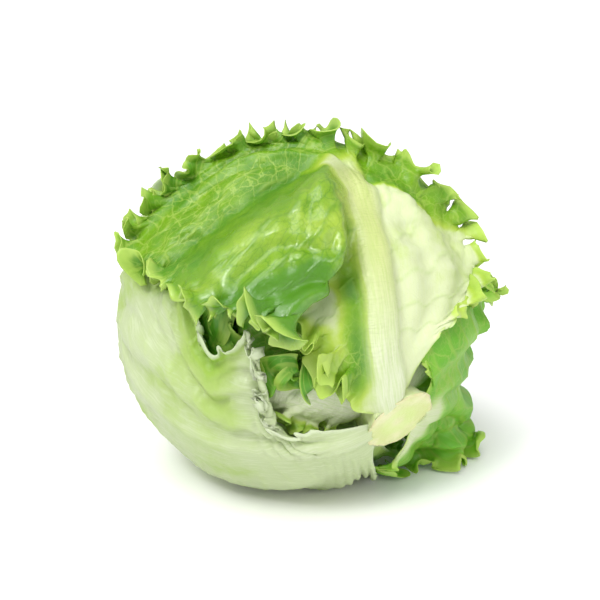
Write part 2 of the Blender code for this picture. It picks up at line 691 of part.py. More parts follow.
ceiling = Ceiling()
pieces = []
trees = []
stem = stem_mesh()
pieces.append(("stem", stem, STEM_COLOUR, 0.5))
trees.append(BVHTree.FromBMesh(stem))
for leaf in LEAVES:
    solid = built_leaf(leaf, ceiling, trees)
    ceiling.cover(solid_points(solid))
    trees.append(BVHTree.FromBMesh(solid))
    pieces.append((leaf.name, solid, leaf.colour, 0.4))
heart = heart_mesh(ceiling)
cleared(heart, trees)
pieces.append(("heart", heart, HEART_COLOUR, 0.5))

# The flat spot under the cradle leaf is on the floor, and the middle of the box over the origin
floor = CRADLE_RISE + SOLE_CUT - HEAD_HEIGHT
every = np.vstack([points_of(bm) for _, bm, _, _ in pieces])
middle = (every.min(axis=0) + every.max(axis=0)) / 2
shift = Vector((-middle[0], -middle[1], -floor))
for name, bm, colour, roughness in pieces:
    bmesh.ops.translate(bm, verts=bm.verts[:], vec=shift)
    finish(name, bm, colour, roughness)
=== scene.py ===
import math

import bmesh
import bpy
import numpy as np
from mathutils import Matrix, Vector


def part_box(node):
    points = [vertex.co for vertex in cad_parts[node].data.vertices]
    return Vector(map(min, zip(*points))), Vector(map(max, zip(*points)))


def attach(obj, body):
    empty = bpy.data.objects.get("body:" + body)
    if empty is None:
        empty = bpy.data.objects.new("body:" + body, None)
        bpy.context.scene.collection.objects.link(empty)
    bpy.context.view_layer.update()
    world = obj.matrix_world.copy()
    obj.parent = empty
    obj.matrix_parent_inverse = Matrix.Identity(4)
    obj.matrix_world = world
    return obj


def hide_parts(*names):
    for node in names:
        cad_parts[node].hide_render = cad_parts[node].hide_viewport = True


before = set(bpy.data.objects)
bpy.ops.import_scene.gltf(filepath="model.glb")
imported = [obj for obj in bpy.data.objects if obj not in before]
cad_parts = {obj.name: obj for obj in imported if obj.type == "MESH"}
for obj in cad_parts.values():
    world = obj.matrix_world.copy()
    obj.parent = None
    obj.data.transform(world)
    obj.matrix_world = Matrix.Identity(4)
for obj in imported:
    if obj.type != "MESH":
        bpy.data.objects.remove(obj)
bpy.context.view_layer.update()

MM = 0.001
TURN = 2 * math.pi

# The head's form, as the solids have it
HEAD_RADIUS = 90 * MM
HEAD_HEIGHT = 86 * MM
SIDE_STRETCH = 0.06
STEM_DIMPLE = 0.07
STEM_DIMPLE_SPREAD = math.radians(24)
VIEW_TILT = math.radians(20)
STEM_OFF_VIEW = math.radians(55)
STEM_TURN = math.radians(-45)
CUT_OFF_VIEW = math.radians(59)
CUT_TURN = math.radians(-54.8)

# Stem and heart
STEM_TAPER = math.tan(math.radians(12.2))
STEM_INNER_REACH = 68 * MM
STEM_CUT_REACH = 86.5 * MM
STEM_SPARE = 20 * MM
STEM_SEGMENTS = 40
STEM_EDGE_ROUND = 0.8 * MM
STEM_FACE_DEPTH = 0.05 * MM
STEM_FLUTE = 0.7 * MM
STEM_ROUGHNESS = 0.25 * MM
STEM_DISH = 0.8 * MM
STEM_FACE_ROUGHNESS = 0.35 * MM
STEM_RIM_DROP = 0.6 * MM
HEART_RADIUS = 81 * MM
HEART_UNDER_STEM = 66 * MM
HEART_SINK = 1.5 * MM
HEART_BUMPS = 1.2 * MM
HEART_GAP = 2 * MM
HEART_RISE = 3 * MM
FINE_STEM_SEGMENTS = 160
FINE_STEM_RINGS = 24
STEM_FACE_RINGS = 14

# Leaf blades
RIB_THICKNESS = 3.2 * MM
SOLE_CUT = 1.0 * MM
CRADLE_RISE = 0.6 * MM
LEAF_RISE = 2.0 * MM
FLOOR_EASE = 2 * MM
STEP = 2e-3
RIB_SHARE = 0.8
NARROWEST = math.radians(6)
EDGE_SHARE = 0.85
RIDGE_FROM_EDGE = 26 * MM
RIDGE_WIDTH = 9 * MM
BILLOW_RISE = 16 * MM
BILLOW_HANG = 0.95
BILLOW_SLOPE = 6
BILLOW_END = (99, 86)
BILLOW_LEFT = (-90, -64)
BILLOW_RIGHT = 40
CREST_START = 57
CREST_CLIMB = 62
CREST_TURN = -4
CREST_SPREAD = 12
VALLEY_DEPTH = 6 * MM
VALLEY_PLACE = -3
VALLEY_WIDTH = 6
VALLEY_NEAR = (20, 34)
VALLEY_FAR = (88, 116)
TROUGH_DEPTH = 5 * MM
TROUGH_PLACE = 98
TROUGH_WIDTH = 5
TROUGH_TURN = (-8, -24)
LEAST_SINE = 0.2
SEAM_WELD = 0.02 * MM
RIB_SINK = 0.8

# Fine blades
FINE_COLUMNS = 34
FINE_ROWS = 715
COLUMN_CROWDING = 1.55
FINE_THICKNESS = 0.8 * MM
EDGE_THICKNESS = 0.35 * MM
FINE_TUCK_GAP = 1.2 * MM
BASE_REACH = 4.5 * MM
CEILING_ROUNDS = 14
CEILING_BLEND = 2 * MM
TUCK_ROUNDS = 40
RIB_ROUNDS = 30
NARROW_BLADE = (4 * MM, 16 * MM)
FRILL_BIAS = 0.35
FRILL_DRIFT = (6 * MM, 90 * MM)
FRILL_SWELL = (0.35, 60 * MM)
CURL_BIAS = 0.15
CURL_DRIFT = (2.5 * MM, 31 * MM)
CURL_SWELL = (0.4, 33 * MM)
CURL_REACH = 7 * MM
MOST_BEND = 2.2
TOOTH_SIZES = ((1.0, 0.65), (0.47, 0.4))
LOBE_DRIFT = (1.9, 47 * MM)
LOBE_MEAN = 0.64
TOOTH_SHUFFLE = 12.9898
TOOTH_DEPTH = 3.4 * MM
TOOTH_SHARPNESS = 1.7
LOBE_DEPTH = 9 * MM
MOST_STRETCH = 3.6
NOTCH_LEAN = 1.3
NOTCH_GAP = 2.4 * MM
STRIP_REACH = 0.67 * LOBE_DEPTH
STRIP_FLATNESS = 0.75
BLISTERS = ((11 * MM, 1.0), (5.5 * MM, 0.5))
PLEATS_ACROSS = 3.3
CRUMPLE_WAVE = 19 * MM
FOLD_WAVE = 11 * MM
FOLD_FADE = 45 * MM
CREASE = 1.5 * MM
CREASE_WAVES = (10.5, 6.1)
GROOVE = 1.1 * MM
GROOVE_WIDTH = 2.2 * MM

# Colours of leaves, from pale base to deepest green, and of what lies on them
GREEN_TONES = ((0.79, 0.85, 0.53), (0.51, 0.68, 0.075), (0.235, 0.455, 0.014), (0.1, 0.305, 0.012))
SKIRT_TONES = ((0.8, 0.87, 0.52), (0.5, 0.72, 0.12), (0.32, 0.66, 0.045), (0.19, 0.54, 0.03))
INNER_TONES = ((0.46, 0.7, 0.14), (0.31, 0.61, 0.05), (0.19, 0.5, 0.022), (0.1, 0.35, 0.018))
PALE_TONES = ((0.58, 0.67, 0.38), (0.47, 0.62, 0.18), (0.38, 0.58, 0.08), (0.24, 0.46, 0.05))
TONE_STEPS = ((0.05, 0.45), (0.35, 0.8), (0.72, 1.1))
RIB_YELLOW = (0.68, 0.74, 0.28)
RIB_PALE = (0.66, 0.73, 0.48)
RIB_WHITE = (0.91, 0.93, 0.76)
RIB_WHITE_SHADED = (0.72, 0.82, 0.48)
RIB_SHADING = (0.87, 0.94, 0.74)
RIB_FOOT = (8, 85)
# Lighter rims along leaf edges: partly the edges' own colour, partly painted glow of light shining through
# the thin edge
EDGE_GREEN_GLOW = (0.6, 0.78, 0.16)
EDGE_PALE_GLOW = (0.74, 0.8, 0.6)
EDGE_WIDTH = (0.2, 3.2)
VEIN_YELLOW = (0.44, 0.62, 0.1)
VEIN_SOFT = (0.6, 0.74, 0.3)
# Dark veins on the billow: painted shade in their sunken grooves
VEIN_GROOVE_SHADE = (0.1, 0.29, 0.01)
STREAK_WHITE = (0.8, 0.86, 0.64)
THROUGH_PALE = (0.66, 0.8, 0.34)
THROUGH_GREEN = (0.34, 0.66, 0.03)
THROUGH_SHARE = 0.7

# Net of fine veins, in millimetres on the blade: its layers are each finer and weaker by these shares
NET_CELL = 7.5
NET_LINE = 0.07
NET_WARP = (3, 3, 3)
NET_WARP_SCALE = 0.35
NET_LAYERS = ((1.0, 1.0), (2.6, 0.55))

# Noises: how fine, how detailed and how rough; some lie on a blade stretched across and along
BROAD_PATCHES = (30, 2, 0.5)
SMALL_PATCHES = (95, 4, 0.6)
CRINKLES = (260, 5, 0.65)
GRAIN = (1, 4, 0.6)
GRAIN_STRETCH = (1.2, 0.06)
WRINKLES = (1, 3, 0.6)
WRINKLE_STRETCH = (0.16, 0.85)
STEM_PATCHES = (70, 4, 0.6)
STEM_FIBRES = (700, 4, 0.6)

# Bumps: how much each adds to a leaf's height, and how deep they go; and the gloss of the billow
GRAIN_HEIGHT = 0.4
CRINKLE_HEIGHT = 0.9
NET_HEIGHT = -0.3
WRINKLE_HEIGHT = 5
BELLY_HEIGHT = 1.8
LEAF_BUMP = 0.0006
STEM_BUMP = 0.0008
BELLY_COAT = 0.55
COAT_ROUGHNESS = 0.16

# Colours and light of the stem and the room
STEM_SIDE = ((0.74, 0.8, 0.5), (0.62, 0.72, 0.32))
STEM_CUT = ((0.68, 0.67, 0.41), (0.56, 0.61, 0.26))
STEM_MIDDLE = (0.55, 0.68, 0.22)
STEM_BROWN = (0.62, 0.54, 0.3)
STEM_GLOW = (0.004, 0.004, 0.002)
FLOOR_WHITE = (0.97, 0.97, 0.97, 1)
FLOOR_SIZE = 3
SKY_STRENGTH = 0.62

# Camera, as the photograph was taken
LENS = 85
SENSOR = 36
CAMERA_DISTANCE = 0.74
AIM_RIGHT = 1.6 * MM
AIM_UP = 9.4 * MM


def lengths(v):
    return np.linalg.norm(v, axis=-1)


def unit(v):
    return v / np.maximum(lengths(v), 1e-12)[..., None]


RIGHT = np.array([1.0, 0.0, 0.0])
UP = np.array([0.0, math.sin(VIEW_TILT), math.cos(VIEW_TILT)])
NEAR = np.array([0.0, -math.cos(VIEW_TILT), math.sin(VIEW_TILT)])


def seen_direction(off_view, turn):
    """A direction given by its angle off the line of sight and its turn in the picture."""
    sideways = math.cos(turn) * RIGHT + math.sin(turn) * UP
    return unit(math.sin(off_view) * sideways + math.cos(off_view) * NEAR)


AXIS = seen_direction(STEM_OFF_VIEW, STEM_TURN)
POLE_UP = unit(UP - UP.dot(AXIS) * AXIS)
POLE_RIGHT = np.cross(POLE_UP, AXIS)
CUT_NORMAL = seen_direction(CUT_OFF_VIEW, CUT_TURN)
CUT_MIDDLE = AXIS * STEM_CUT_REACH


def smooth(start, end, x):
    """Eased from 0 at the start to 1 at the end, whichever of them is the greater."""
    t = np.clip((x - start) / (end - start), 0, 1)
    return t * t * (3 - 2 * t)


def smooth_min(a, b, blend):
    h = np.clip(blend - np.abs(a - b), 0, None) / blend
    return np.minimum(a, b) - h * h * blend / 4


def wobble(x, seed, waves=(1.0, 0.62, 0.37)):
    """A slow uneven wave between about -1 and 1."""
    rng = np.random.default_rng(seed)
    total = 0
    for k, length in enumerate(waves):
        total = total + np.sin(TURN * x / length + rng.uniform(0, TURN)) / (k + 1)
    return total / 1.6


def random_waves(p, seed, length, count=7):
    """Soft bumps in space, about this far apart."""
    rng = np.random.default_rng(seed)
    total = 0
    for _ in range(count):
        k = unit(rng.normal(size=3)) * TURN / (length * rng.uniform(0.75, 1.35))
        total = total + np.sin(p @ k + rng.uniform(0, TURN))
    return total / math.sqrt(count) * 0.8


def bell(x):
    return np.exp(-(x**2))


def between(start, end, x):
    """1 in the middle, rising to it over the first stretch and falling over the second."""
    return smooth(*start, x) * (1 - smooth(*end, x))


def rows_beside(grid):
    """The row before and the row after each row of a grid."""
    return np.vstack([grid[:1], grid[:-1]]), np.vstack([grid[1:], grid[-1:]])


def evened(grid):
    """The grid with each row drawn towards the rows before and after it."""
    before, after = rows_beside(grid)
    return (before + 4 * grid + after) / 6


def polar(theta, phi):
    """Direction at theta degrees from the stem and phi degrees round it, 0 being up in the picture."""
    theta = np.radians(theta)[..., None]
    phi = np.radians(phi)[..., None]
    return np.cos(theta) * AXIS + np.sin(theta) * (np.cos(phi) * POLE_UP + np.sin(phi) * POLE_RIGHT)


def angles(d):
    theta = np.degrees(np.arccos(np.clip(d @ AXIS, -1, 1)))
    return theta, np.degrees(np.arctan2(d @ POLE_RIGHT, d @ POLE_UP))


def envelope(d):
    """How far the outside of the head is from its middle."""
    theta = np.arccos(np.clip(d @ AXIS, -1, 1))
    dimple = STEM_DIMPLE * bell(theta / STEM_DIMPLE_SPREAD)
    side = SIDE_STRETCH * np.minimum(d @ RIGHT, 0) ** 2
    floor = HEAD_HEIGHT / np.maximum(-d[..., 2], 0.05)
    return smooth_min(HEAD_RADIUS * (1 - dimple) * (1 + side), floor, 5 * MM)


def grounded(p, rise):
    """Points eased up so that none is lower than rise over the floor."""
    low = rise - HEAD_HEIGHT
    z = p[..., 2]
    eased_z = low + FLOOR_EASE * np.exp(np.minimum(z - low - FLOOR_EASE, 0) / FLOOR_EASE)
    z = np.where(z < low + FLOOR_EASE, eased_z, z)
    return np.concatenate([p[..., :2], z[..., None]], -1)


def spline(points, t):
    """A smooth curve through points, evenly paced, at t from 0 to 1."""
    gaps = lengths(np.diff(points[:, :3], axis=0))
    knots = np.hstack([0, np.cumsum(gaps)]) / gaps.sum()
    rates = np.diff(points, axis=0) / np.diff(knots)[:, None]
    slopes = np.vstack([rates[:1], (rates[1:] + rates[:-1]) / 2, rates[-1:]])
    t = np.clip(t, 0, 1)
    k = np.clip(np.searchsorted(knots, t) - 1, 0, len(knots) - 2)
    width = (knots[k + 1] - knots[k])[..., None]
    u = (t - knots[k])[..., None] / width
    start = points[k] * (1 + 2 * u) * (1 - u) ** 2 + slopes[k] * width * u * (1 - u) ** 2
    end = points[k + 1] * u * u * (3 - 2 * u) + slopes[k + 1] * width * u * u * (u - 1)
    return start + end


def polar_points(rows):
    """Rows of theta, phi and, where given, lift in millimetres, as directions with their lift."""
    a = np.array(rows, float)
    lift = a[:, 2:] if a.shape[1] > 2 else np.zeros((len(a), 1))
    return np.hstack([polar(a[:, 0], a[:, 1]), lift * MM])


class Leaf:
    """A blade over x, from left edge (-1) past the rib (0) to right edge (1), and y, from base to tip."""

    # Usual lengths in millimetres, and the other usual settings; pairs are for the left and right halves
    LENGTHS = dict(
        flare_reach=30, frill_reach=15, frill_wave=17, curl_wave=7.5, lobe_wave=8.5, tooth_gap=4.2,
        rib_rise=2, rib_width=7, undulation=1.4, blister=0.4, vein_rise=0.35, crumple=0, folds=0,
    )
    SETTINGS = dict(
        frilled=(1, 1), torn=(1, 1), ridges=(0, 0), pleats=(0.6, 0.6), rise=LEAF_RISE, shape=None,
        bend=0.9, curl_bend=0.75, lean=0.45, lobes=0.9, teeth=1.5, calm=0.05, vein_count=13, base_pale=0.6,
        green_reach=(55, 55), green_from=0.35, green_tip=0.8, strips={-1: (), 1: ()},
    )

    def __init__(self, name, seed, tip, rib, left, right, depth, tip_depth, **more):
        self.name = name
        self.seed = seed
        self.rib_points = polar_points(rib + [tip[:2]])
        self.edge_points = {-1: polar_points(left + [tip]), 1: polar_points(right + [tip])}
        self.depth = depth * MM
        self.tip_depth = tip_depth * MM
        self.tones = more.get("tones", plain_tones)
        for key, usual in self.LENGTHS.items():
            setattr(self, key, more.get(key, usual) * MM)
        for key, usual in self.SETTINGS.items():
            setattr(self, key, more.get(key, usual))
        line = unit(spline(self.rib_points, np.linspace(0, 1, 200))[:, :3])
        self.rib_length = lengths(np.diff(line, axis=0)).sum() * HEAD_RADIUS
        self.steps = np.linspace(0, 1, 400)
        self.edge_lengths = {}
        for side, points in self.edge_points.items():
            line = unit(spline(points, self.steps)[:, :3]) * HEAD_RADIUS
            self.edge_lengths[side] = np.hstack([0, np.cumsum(lengths(np.diff(line, axis=0)))])
        self.whole_edge = self.edge_lengths[-1][-1] + self.edge_lengths[1][-1]

    def frame(self, x, y):
        """Direction, place along and across the rib, width of the blade there, and lift of its edge."""
        p = np.abs(x)
        s_rib = RIB_SHARE * y**1.05
        rib = unit(spline(self.rib_points, s_rib)[..., :3])
        ahead, behind = (
            unit(spline(self.rib_points, np.clip(s_rib + step, 0, 1))[..., :3]) for step in (STEP, -STEP)
        )
        along = unit(ahead - behind)
        left = spline(self.edge_points[-1], y)
        right = spline(self.edge_points[1], y)
        edge = np.where((x < 0)[..., None], left, right)
        lift = edge[..., 3]
        edge = unit(edge[..., :3])
        span = np.arccos(np.clip(np.sum(rib * edge, -1), -1, 1))
        d = unit(np.sin((1 - p) * span)[..., None] * rib + np.sin(p * span)[..., None] * edge)
        across = np.cross(along, rib)
        b = np.arcsin(np.clip(np.sum(d * across, -1), -1, 1)) * HEAD_RADIUS
        s = s_rib + np.sum(d * along, -1) * HEAD_RADIUS / self.rib_length
        return d, s, b, span, lift

    def skin(self, x, y):
        """The blade without its frills."""
        d, s, b, span, lift = self.frame(x, y)
        length = np.clip(s, 0, 1)
        reach = envelope(d) - self.depth - (self.tip_depth - self.depth) * length
        from_edge = (1 - np.abs(x)) * np.maximum(span, NARROWEST) * HEAD_RADIUS * EDGE_SHARE
        near_edge = np.clip(1 - from_edge / self.flare_reach, 0, 1)
        bumps = random_waves(d * HEAD_RADIUS, self.seed, 48 * MM) * smooth(0.1, 0.3, s)
        ridge = self.sided(self.ridges, x, y) * MM * smooth(0.2, 0.45, y)
        ridge = ridge * bell((from_edge - RIDGE_FROM_EDGE) / RIDGE_WIDTH)
        reach = reach + lift * near_edge**2 + ridge + self.undulation * bumps
        reach = reach + self.rib_rise * self.rib_profile(s, b)
        p = d * reach[..., None]
        if self.shape:
            p = self.shape(p, d)
        return grounded(p, self.rise)

    def sided(self, values, x, y):
        """A value given for each half of the blade, the same for both at the tip where they meet."""
        shared = sum(values) / 2
        return shared + (np.where(x < 0, *values) - shared) * smooth(0.97, 0.75, y)

    def rib_profile(self, s, b):
        """1 on the flat back of the rib and 0 beside it, fading out towards the tip."""
        wide = self.rib_width * (1 - 0.35 * np.clip(s, 0, 1))
        return np.exp(-((b / wide) ** 4)) * smooth(0.95, 0.45, s)

    def normal(self, x, y):
        across = np.where(x > 0.99, -STEP, STEP)
        along = np.where(y > 0.9, -STEP, STEP)
        p = self.skin(x, y)
        du = (self.skin(x + across, y) - p) / across[..., None]
        dv = (self.skin(x, y + along) - p) / along[..., None]
        at_tip = smooth(0.8, 1, y)[..., None]
        return unit(unit(np.cross(du, dv)) * (1 - at_tip) + unit(p) * at_tip)

    def rib_over(self, x, y):
        """How much the rib adds outside the blade."""
        s, b = self.frame(x, y)[1:3]
        return RIB_THICKNESS * self.rib_profile(s, b) * smooth(0.75, 0.05, s)

    def ruffled(self, x, y, side):
        """One half of the blade, bent along each row from rib to edge, and the masks for its colours."""
        d, s, b = self.frame(x, y)[:3]
        base = self.skin(x, y)
        n = self.normal(x, y)
        steps = np.diff(base, axis=1)
        walked = lengths(steps)
        far = np.hstack([np.zeros((len(x), 1)), np.cumsum(walked, axis=1)])
        wide = far[:, -1:]
        edge = wide - far
        halfway = (edge[:, 1:] + edge[:, :-1]) / 2
        from_base = np.interp(y[:, 1:], self.steps, self.edge_lengths[side])
        run = from_base if side < 0 else self.whole_edge - from_base

        ready = smooth(self.calm, self.calm + 0.15, y[:, 1:]) * smooth(*NARROW_BLADE, wide)
        grown = self.sided(self.frilled, x, y)[:, 1:] * ready
        torn = self.sided(self.torn, x, y)[:, 1:] * ready

        def uneven(change, seed):
            return change[0] * wobble(run / change[1], self.seed + seed)

        def beside_edge(reach):
            return np.clip(1 - halfway / reach, 0, 1)

        frill_run = run + uneven(FRILL_DRIFT, 3)
        phase = TURN * frill_run / self.frill_wave
        big = np.sin(phase) + 0.35 * np.sin(1.63 * phase + self.seed) + FRILL_BIAS
        big = big * (1 + uneven(FRILL_SWELL, 5))
        fine = frill_run + uneven(CURL_DRIFT, 13)
        curl = TURN * fine / self.curl_wave
        small = np.sin(curl) + 0.4 * np.sin(1.7 * curl + 2) + CURL_BIAS
        small = small * (1 + uneven(CURL_SWELL, 15))
        first = beside_edge(self.frill_reach)
        last = beside_edge(CURL_REACH)
        bend = grown * (self.bend * first * big + self.curl_bend * last * small)
        bend = np.clip(bend, -MOST_BEND, MOST_BEND)
        lean = grown * self.lean * (first * np.sin(2 * phase + 0.6) + 0.6 * last * np.sin(2 * curl + 1))

        spine = 0
        for spacing, size in TOOTH_SIZES:
            tooth = fine / (spacing * self.tooth_gap)
            uneven_size = 0.3 + 0.7 * np.sin(np.floor(tooth) * TOOTH_SHUFFLE + self.seed) ** 2
            spine = spine + size * uneven_size * (1 - np.abs(2 * (tooth % 1) - 1)) ** TOOTH_SHARPNESS
        lobe = 0.5 + 0.5 * np.sin(TURN * fine / self.lobe_wave + uneven(LOBE_DRIFT, 17))
        lobe_share = beside_edge(LOBE_DEPTH) ** 0.5
        stretch = 1 + self.teeth * torn * spine * beside_edge(TOOTH_DEPTH) ** 0.5
        stretch = stretch * (1 + self.lobes * torn * (lobe**0.6 - LOBE_MEAN) * lobe_share)
        for middle, reach, half_width in self.strips[side]:
            off_middle = (from_base / MM - middle) / half_width
            strip = bell(off_middle)
            notched = np.sin(TURN * halfway / NOTCH_GAP) * lobe_share
            lean = lean + NOTCH_LEAN * off_middle * strip * notched
            stretch = stretch + reach * MM / STRIP_REACH * strip * lobe_share
            bend = bend * (1 - STRIP_FLATNESS * strip)
        stretch = evened(np.minimum(stretch, MOST_STRETCH))

        out = unit(steps + 1e-12)
        up = (n[:, 1:] + n[:, :-1]) / 2
        up = unit(up - np.sum(up * out, -1, keepdims=True) * out)
        turn = np.cross(up, out)
        moved = np.cos(bend)[..., None] * out + np.sin(bend)[..., None] * up + lean[..., None] * turn
        moved = moved * (walked * stretch)[..., None]
        p = np.hstack([base[:, :1], base[:, :1] + np.cumsum(moved, axis=1)])

        vein = self.veins(x, y)
        height = self.relief(d, s, b, x, y, edge, vein, side)
        across = np.gradient(p, axis=1) * side
        along = np.gradient(p, axis=0)
        bent = unit(np.cross(across, along))
        at_rib = smooth(0.08, 0.0, np.abs(x))[..., None]
        bent = unit(bent * (1 - at_rib) + n * at_rib)
        p = p + (height * smooth(0.95, 0.86, y))[..., None] * bent
        base_reach = BASE_REACH * smooth(0.05, 0, y)
        off_axis = p - (p @ AXIS)[..., None] * AXIS
        p = p - unit(off_axis) * base_reach[..., None]
        tones = self.tones(self, d, s, b, x, y, edge, side)
        masks = {name: share + 0 * s for name, share in tones.items()}
        masks.update(edge=edge / MM, vein=vein, across=b / MM, along=s * self.rib_length / MM)
        return grounded(p, self.rise), masks

    def relief(self, d, s, b, x, y, edge, vein, side):
        """Blisters, raised veins and soft pleats, as heights over the blade."""
        p = d * HEAD_RADIUS
        blister = 0
        for k, (wave, size) in enumerate(BLISTERS):
            blister = blister + size * random_waves(p, self.seed + 21 + k, wave, 9)
        rib = self.rib_profile(s, b)
        crisp = self.blister * smooth(0.12, 0.4, s) * (1 - 0.75 * vein) * (1 - rib)
        pleat = TURN * PLEATS_ACROSS * np.abs(x) ** 0.8 + 1.5 * wobble(y, self.seed + 31, (0.9, 0.5))
        pleat = np.sin(pleat) * self.pleats[0 if side < 0 else 1] * MM
        pleat = pleat * smooth(0.05, 0.25, np.abs(x)) * smooth(0.03, 0.3, y) * (1 - rib)
        crumple = self.crumple * smooth(0.3, 0.55, y) * random_waves(p, self.seed + 27, CRUMPLE_WAVE, 9)
        beside = bell((np.abs(b) - 1.15 * self.rib_width) / GROOVE_WIDTH)
        groove = GROOVE * beside * between((0.05, 0.2), (0.6, 0.9), s)
        fold = np.sin(TURN * edge / FOLD_WAVE + 2.5 * wobble(y, self.seed + 33, (0.6, 0.3)))
        fold = self.folds * fold * np.exp(-edge / FOLD_FADE) * smooth(0.04, 0.2, y)
        height = crisp * blister + self.vein_rise * vein + pleat + fold + crumple - groove
        return height + self.creases(d, side)

    def creases(self, d, side):
        """Long soft folds that run round the head over the billow."""
        if side > 0 or not self.shape:
            return 0
        theta, phi = angles(d)
        across = theta + 5 * wobble(phi / 50, 77) + 0.12 * phi
        over = between((56, 64), (80, 90), theta) * between((-78, -62), (-38, -20), phi)
        coarse, fine = (TURN * across / wave for wave in CREASE_WAVES)
        return CREASE * over * (np.sin(coarse) + 0.4 * np.sin(fine + 1))

    def veins(self, x, y):
        """How much of a side vein there is: they fan from the rib to the edge, finer as they go."""
        count = self.vein_count
        place = y * count + 0.35 * np.sin(7 * y + 3 * x + self.seed)
        place = place + 0.12 * np.sin(23 * np.abs(x) + 5 * self.seed)
        away = np.abs((place + 0.5 * (x < 0)) % 1 - 0.5) * 2
        gap = self.rib_length / count
        half_width = (0.5 + 0.9 * (1 - np.abs(x))) * MM / gap * 2
        main = bell(away / half_width)
        fade = smooth(0.04, 0.16, np.abs(x)) * smooth(0.06, 0.2, y) * (1 - 0.5 * smooth(0.7, 1, np.abs(x)))
        return main * fade * smooth(1, 0.93, y)


def plain_tones(leaf, d, s, b, x, y, edge, side):
    """Pale at the rib and base, green in the outer part of the blade."""
    reach = leaf.green_reach[0 if side < 0 else 1] * MM
    outward = smooth(0, 1, 1 - np.clip(edge / reach, 0, 1))
    onward = smooth(leaf.green_from, 1.0, s) * leaf.green_tip
    rib = leaf.rib_profile(s, b)
    base = smooth(0.22, 0.02, s)
    green = np.clip(np.maximum(outward, onward) - 0.8 * rib - leaf.base_pale * base, 0, 1)
    return dict(green=green, rib=rib, belly=0, net=0.8)


def skirt_tones(leaf, d, s, b, x, y, edge, side):
    """The leaf beside the stem: green almost down to its white base."""
    theta, phi = angles(d)
    base = smooth(23, 16, theta) * smooth(45, 75, phi)
    hem = smooth(1 * MM, 9 * MM, edge)
    patches = smooth(-0.3, 0.9, random_waves(d * HEAD_RADIUS, 93, 30 * MM))
    green = (0.45 + 0.45 * hem + 0.2 * patches) * (1 - base)
    return dict(green=green, rib=0.8 * base, belly=0, net=0.85)


def cradle_tones(leaf, d, s, b, x, y, edge, side):
    """The pale leaf underneath: white torn lapels beside the stem, yellow-green patches farther on."""
    theta = angles(d)[0]
    hem = 0.5 * smooth(32 * MM, 4 * MM, edge) * smooth(56, 68, theta) * (side > 0)
    patches = 0.14 + 0.26 * smooth(-0.2, 0.8, random_waves(d * HEAD_RADIUS, 91, 42 * MM, 9))
    patches = patches * smooth(34, 60, theta)
    return dict(green=hem + patches, rib=0.4 * leaf.rib_profile(s, b), belly=0, net=0.3)


def crown_tones(leaf, d, s, b, x, y, edge, side):
    """The top leaf: its left half green from the hem to the rib, with painted shade beside the rib, in the
    hollow low on the billow and in the trough behind it; its right half pale up to a green border.
    """
    theta, phi = angles(d)
    rib = leaf.rib_profile(s, b)
    if side < 0:
        off_rib = np.abs(b) / MM
        # A green strip beside the rib: partly its own green, partly painted shade under the overhanging
        # billow
        strip = between((4, 8), (13, 25), off_rib) * smooth(17, 32, theta)
        low = 0.1 + 0.92 * strip + 0.4 * smooth(11 * MM, 3 * MM, edge) * smooth(20, 34, theta)
        green = low + (0.62 - low) * smooth(52, 62, theta) + 0.2 * smooth(86, 98, theta)
        # Deeper green in the trough behind the billow: painted shade
        green = green + 0.5 * bell((theta - 95) / 5)
        # Deeper green in the hollow low on the billow's left: painted shade
        hollow_shade = smooth(-30, -48, phi) * smooth(82, 70, theta + 0.25 * (phi + 60)) * smooth(54, 62, theta)
        green = (green + 0.62 * hollow_shade) * smooth(4, 9, off_rib)
        belly = smooth(0.03, 0.12, np.abs(x)) * between((54, 66), (86, 95), theta)
    else:
        border = (26 + 2 * wobble(y, 3, (0.3, 0.13))) * MM
        green = 0.9 * smooth(border + 2 * MM, border - 2 * MM, edge) * smooth(66, 76, theta)
        hem = 0.55 * smooth(7 * MM, 1 * MM, edge) * smooth(76, 66, theta) * smooth(28, 44, theta)
        green = np.maximum(np.maximum(green, hem), 0.16 * smooth(30, 60, theta))
        belly = 0
    onward = 0.95 * smooth(92, 101, theta)
    green = np.maximum(green * (1 - 0.85 * rib), onward)
    curls = smooth(22 * MM, 8 * MM, edge) * smooth(24, 36, theta)
    netted = np.maximum(np.maximum(belly, smooth(97, 104, theta)), curls)
    net = 0.15 + 0.85 * netted if side < 0 else 0.75
    return dict(green=np.clip(green, 0, 1), rib=rib * smooth(97, 88, theta), belly=belly, net=net)


def billow(p, d):
    """The left half of the top leaf bellies out and overhangs the rib, with a valley before and behind it."""
    theta, phi = angles(d)
    rise = np.exp((phi - CREST_TURN) / CREST_SPREAD)
    border = CREST_START + CREST_CLIMB * rise
    slope = CREST_CLIMB / CREST_SPREAD * rise
    past = (theta - border) / np.sqrt(1 + slope**2)
    side = smooth(*BILLOW_LEFT, phi) * (phi < BILLOW_RIGHT)
    belly = BILLOW_RISE * smooth(0, BILLOW_SLOPE, past) * smooth(*BILLOW_END, theta) * side
    valley = VALLEY_DEPTH * bell((past - VALLEY_PLACE) / VALLEY_WIDTH) * side
    valley = valley * between(VALLEY_NEAR, VALLEY_FAR, theta)
    behind = TROUGH_DEPTH * bell((theta - TROUGH_PLACE) / TROUGH_WIDTH) * smooth(*TROUGH_TURN, phi)
    back = unit(np.cross(np.cross(d, AXIS), d))
    around = unit(np.cross(AXIS, d) + 1e-12)
    turning = (slope / np.maximum(np.sin(np.radians(theta)), LEAST_SINE))[..., None]
    downhill = unit(back + turning * around)
    return p + (belly - valley - behind)[..., None] * d + (BILLOW_HANG * belly)[..., None] * downhill


